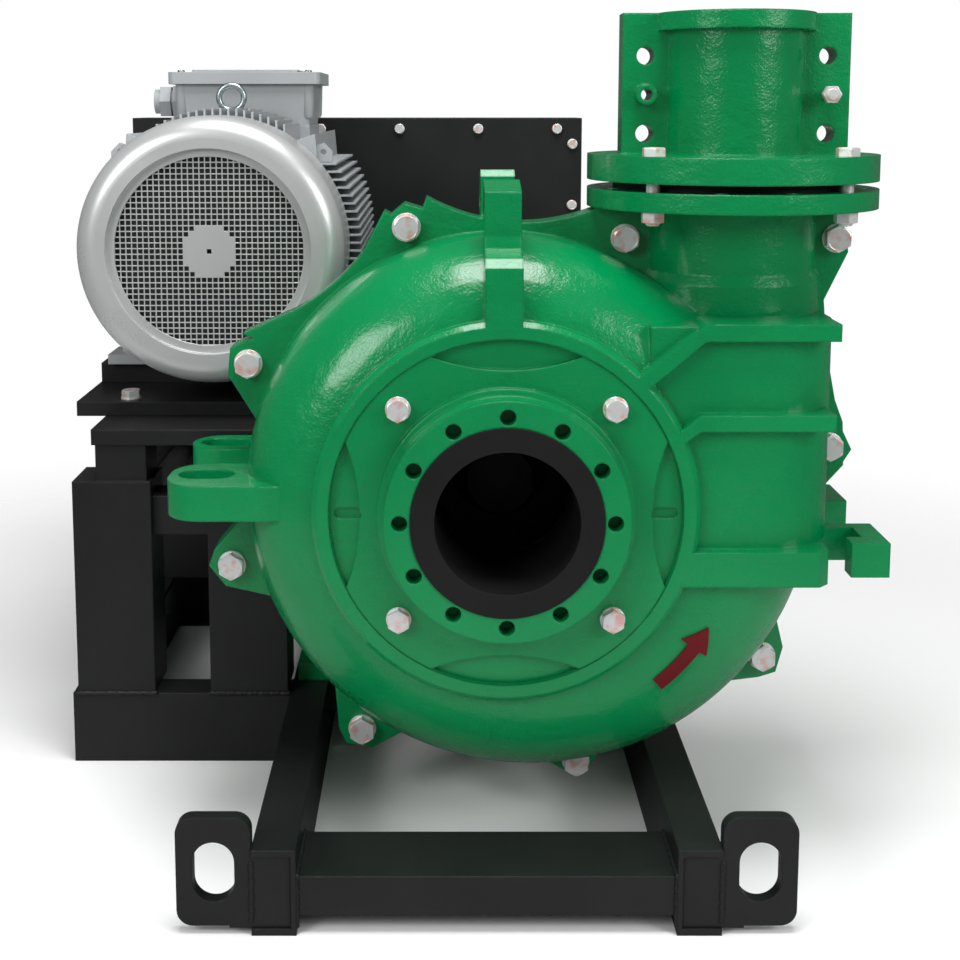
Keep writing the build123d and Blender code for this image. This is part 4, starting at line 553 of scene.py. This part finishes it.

# Punched grille of the fan cowl.
# A sheet with square holes between a rim and a blank centre. The blank has a small hole in the
# middle, and behind the sheet a black disc is painted shade for the inside of the cowl.
motor_x, motor_z = -0.478, 0.3233
sheet_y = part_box("cowl_grille")[0].y
hole_pitch, bar, rows, sheet_thickness, back_gap = 0.0096, 0.0020, 36, 0.001, 0.012
centre_hole, blank_reach, holes_reach, sheet_reach = 0.0025, 0.0445, 0.1612, 0.172
lines = []
for index in range(-rows // 2 - 1, rows // 2 + 1):
    lines += [(index + 0.5) * hole_pitch - bar / 2, (index + 0.5) * hole_pitch + bar / 2]
sheet_form = bmesh.new()
corner = {}
for across_index in range(len(lines) - 1):
    for up_index in range(len(lines) - 1):
        x = (lines[across_index] + lines[across_index + 1]) / 2
        z = (lines[up_index] + lines[up_index + 1]) / 2
        reach = math.hypot(x, z)
        hole = across_index % 2 == 1 and up_index % 2 == 1 and blank_reach < reach < holes_reach
        if hole or reach > sheet_reach or reach < centre_hole:
            continue
        quad = []
        for place in ((0, 0), (1, 0), (1, 1), (0, 1)):
            key = (across_index + place[0], up_index + place[1])
            if key not in corner:
                corner[key] = sheet_form.verts.new(
                    (motor_x + lines[key[0]], sheet_y, motor_z + lines[key[1]])
                )
            quad.append(corner[key])
        sheet_form.faces.new(quad)
thick = bmesh.ops.extrude_face_region(sheet_form, geom=sheet_form.faces[:])
for item in thick["geom"]:
    if isinstance(item, bmesh.types.BMVert):
        item.co.y += sheet_thickness
bmesh.ops.recalc_face_normals(sheet_form, faces=sheet_form.faces)
punched_grille = linked_piece("punched_grille", sheet_form, cowl_paint)
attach(punched_grille, "pump_set")
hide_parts("cowl_grille")
# Black disc behind the sheet: painted shade for the inside of the cowl and its fan.
shade_disc_form = bmesh.new()
bmesh.ops.create_circle(shade_disc_form, cap_ends=True, radius=sheet_reach, segments=96)
upright = Matrix.Rotation(math.radians(90), 3, "X")
bmesh.ops.rotate(shade_disc_form, verts=shade_disc_form.verts, cent=(0, 0, 0), matrix=upright)
bmesh.ops.translate(shade_disc_form, verts=shade_disc_form.verts, vec=(motor_x, sheet_y + back_gap, motor_z))
grille_shade_disc = linked_piece("grille_shade_disc", shade_disc_form, plastic_and_painted_shade)
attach(grille_shade_disc, "pump_set")

# Weld beads of the base frame and the motor stand.
# Rows of small overlapping scales of bare dark metal where two profiles meet.
bead_form = bmesh.new()
bead_pitch, bead_radius, bead_swing, bead_sway = 0.0035, 0.0042, 0.0004, 0.0006
rail_left, rail_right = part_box("base_rail_left"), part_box("base_rail_right")
bar_low, bar_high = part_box("front_crossbar")
stand_low, stand_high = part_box("stand_posts")
post_width, post_foot = 0.13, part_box("stand_beams")[1].z
bar_foot, lug_low, lug_high = floor_z + 0.012, floor_z + 0.02, floor_z + 0.10
bead_runs = (
    ((rail_left[1].x, bar_low.y, bar_foot), (rail_left[1].x, bar_low.y, bar_high.z)),
    ((rail_right[0].x, bar_low.y, bar_foot), (rail_right[0].x, bar_low.y, bar_high.z)),
    ((rail_left[1].x, bar_low.y, bar_high.z), (rail_left[1].x, bar_high.y, bar_high.z)),
    ((rail_right[0].x, bar_low.y, bar_high.z), (rail_right[0].x, bar_high.y, bar_high.z)),
    ((rail_left[0].x, bar_low.y, lug_low), (rail_left[0].x, bar_low.y, lug_high)),
    ((rail_right[1].x, bar_low.y, lug_low), (rail_right[1].x, bar_low.y, lug_high)),
    ((stand_low.x, stand_low.y, post_foot), (stand_low.x + post_width, stand_low.y, post_foot)),
    ((stand_high.x - post_width, stand_low.y, post_foot), (stand_high.x, stand_low.y, post_foot)),
)
for run, (start, end) in enumerate(bead_runs):
    start, end = Vector(start), Vector(end)
    count = max(2, int((end - start).length / bead_pitch))
    for index in range(count + 1):
        wobble = bead_sway * math.sin(index * 2.4 + run)
        spot_at = start.lerp(end, index / count) + Vector((wobble, 0.0, 0.6 * wobble))
        radius = bead_radius + bead_swing * math.sin(index * 5.1)
        scale = bmesh.ops.create_icosphere(bead_form, subdivisions=2, radius=radius)
        bmesh.ops.translate(bead_form, verts=scale["verts"], vec=spot_at)
weld_beads = linked_piece("weld_beads", bead_form, black_paint, sharp=180)
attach(weld_beads, "pump_set")

# Small fittings of the terminal box and the suction cover.
# The box has a round post at each corner and its lid a raised field with four screws. In the bottom
# pocket of the suction cover a thin black disc is painted shade standing for a small drain hole.
lid_low, lid_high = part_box("terminal_lid")
down = Vector((0, 0, -1))
inset_x, inset_y, field_gap_x, field_gap_y, field_height = 0.024, 0.021, 0.09, 0.04, 0.005
post_rings = [(0.0115, 0, round_ring), (0.0095, 0.060, round_ring), (0.006, 0.066, round_ring)]
screw_rings = [
    (0.007, 0, round_ring), (0.007, 0.003, round_ring),
    (0.0055, 0.004, round_ring), (0.003, 0.004, round_ring),
]
# Rings of the thin black disc that is painted shade for the drain hole.
drain_shade_rings = [(0.0048, 0, round_ring), (0.0046, 0.0003, round_ring)]
drain_depth, drain_height = 0.0532, -0.190
post_form, screw_form, drain_shade_form = bmesh.new(), bmesh.new(), bmesh.new()
for x in (lid_low.x + inset_x, lid_high.x - inset_x):
    for y in (lid_low.y + inset_y, lid_high.y - inset_y):
        lathe(post_form, Vector((x, y, lid_low.z)), down, post_rings)
        lathe(screw_form, Vector((x, y, lid_high.z)), -down, screw_rings)
field = bmesh.ops.create_cube(post_form, size=1.0)
spread = Vector((lid_high.x - lid_low.x - field_gap_x, lid_high.y - lid_low.y - field_gap_y, field_height))
bmesh.ops.scale(post_form, verts=field["verts"], vec=spread)
centre = (lid_low + lid_high) / 2
bmesh.ops.translate(post_form, verts=field["verts"], vec=(centre.x, centre.y, lid_high.z + 0.0024))
pocket_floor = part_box("suction_cover")[0].y + drain_depth
# Thin black disc on the pocket floor: painted shade where the drain hole would show dark.
lathe(drain_shade_form, Vector((0, pocket_floor, drain_height)), Vector((0, -1, 0)), drain_shade_rings)
for name, form, paint in (
    ("terminal_box_posts", post_form, grey_paint),
    ("terminal_lid_screws", screw_form, galvanised),
    ("cover_drain_shade_disc", drain_shade_form, plastic_and_painted_shade),
):
    bmesh.ops.recalc_face_normals(form, faces=form.faces)
    fitting = linked_piece(name, form, paint, sharp=30)
    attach(fitting, "pump_set")
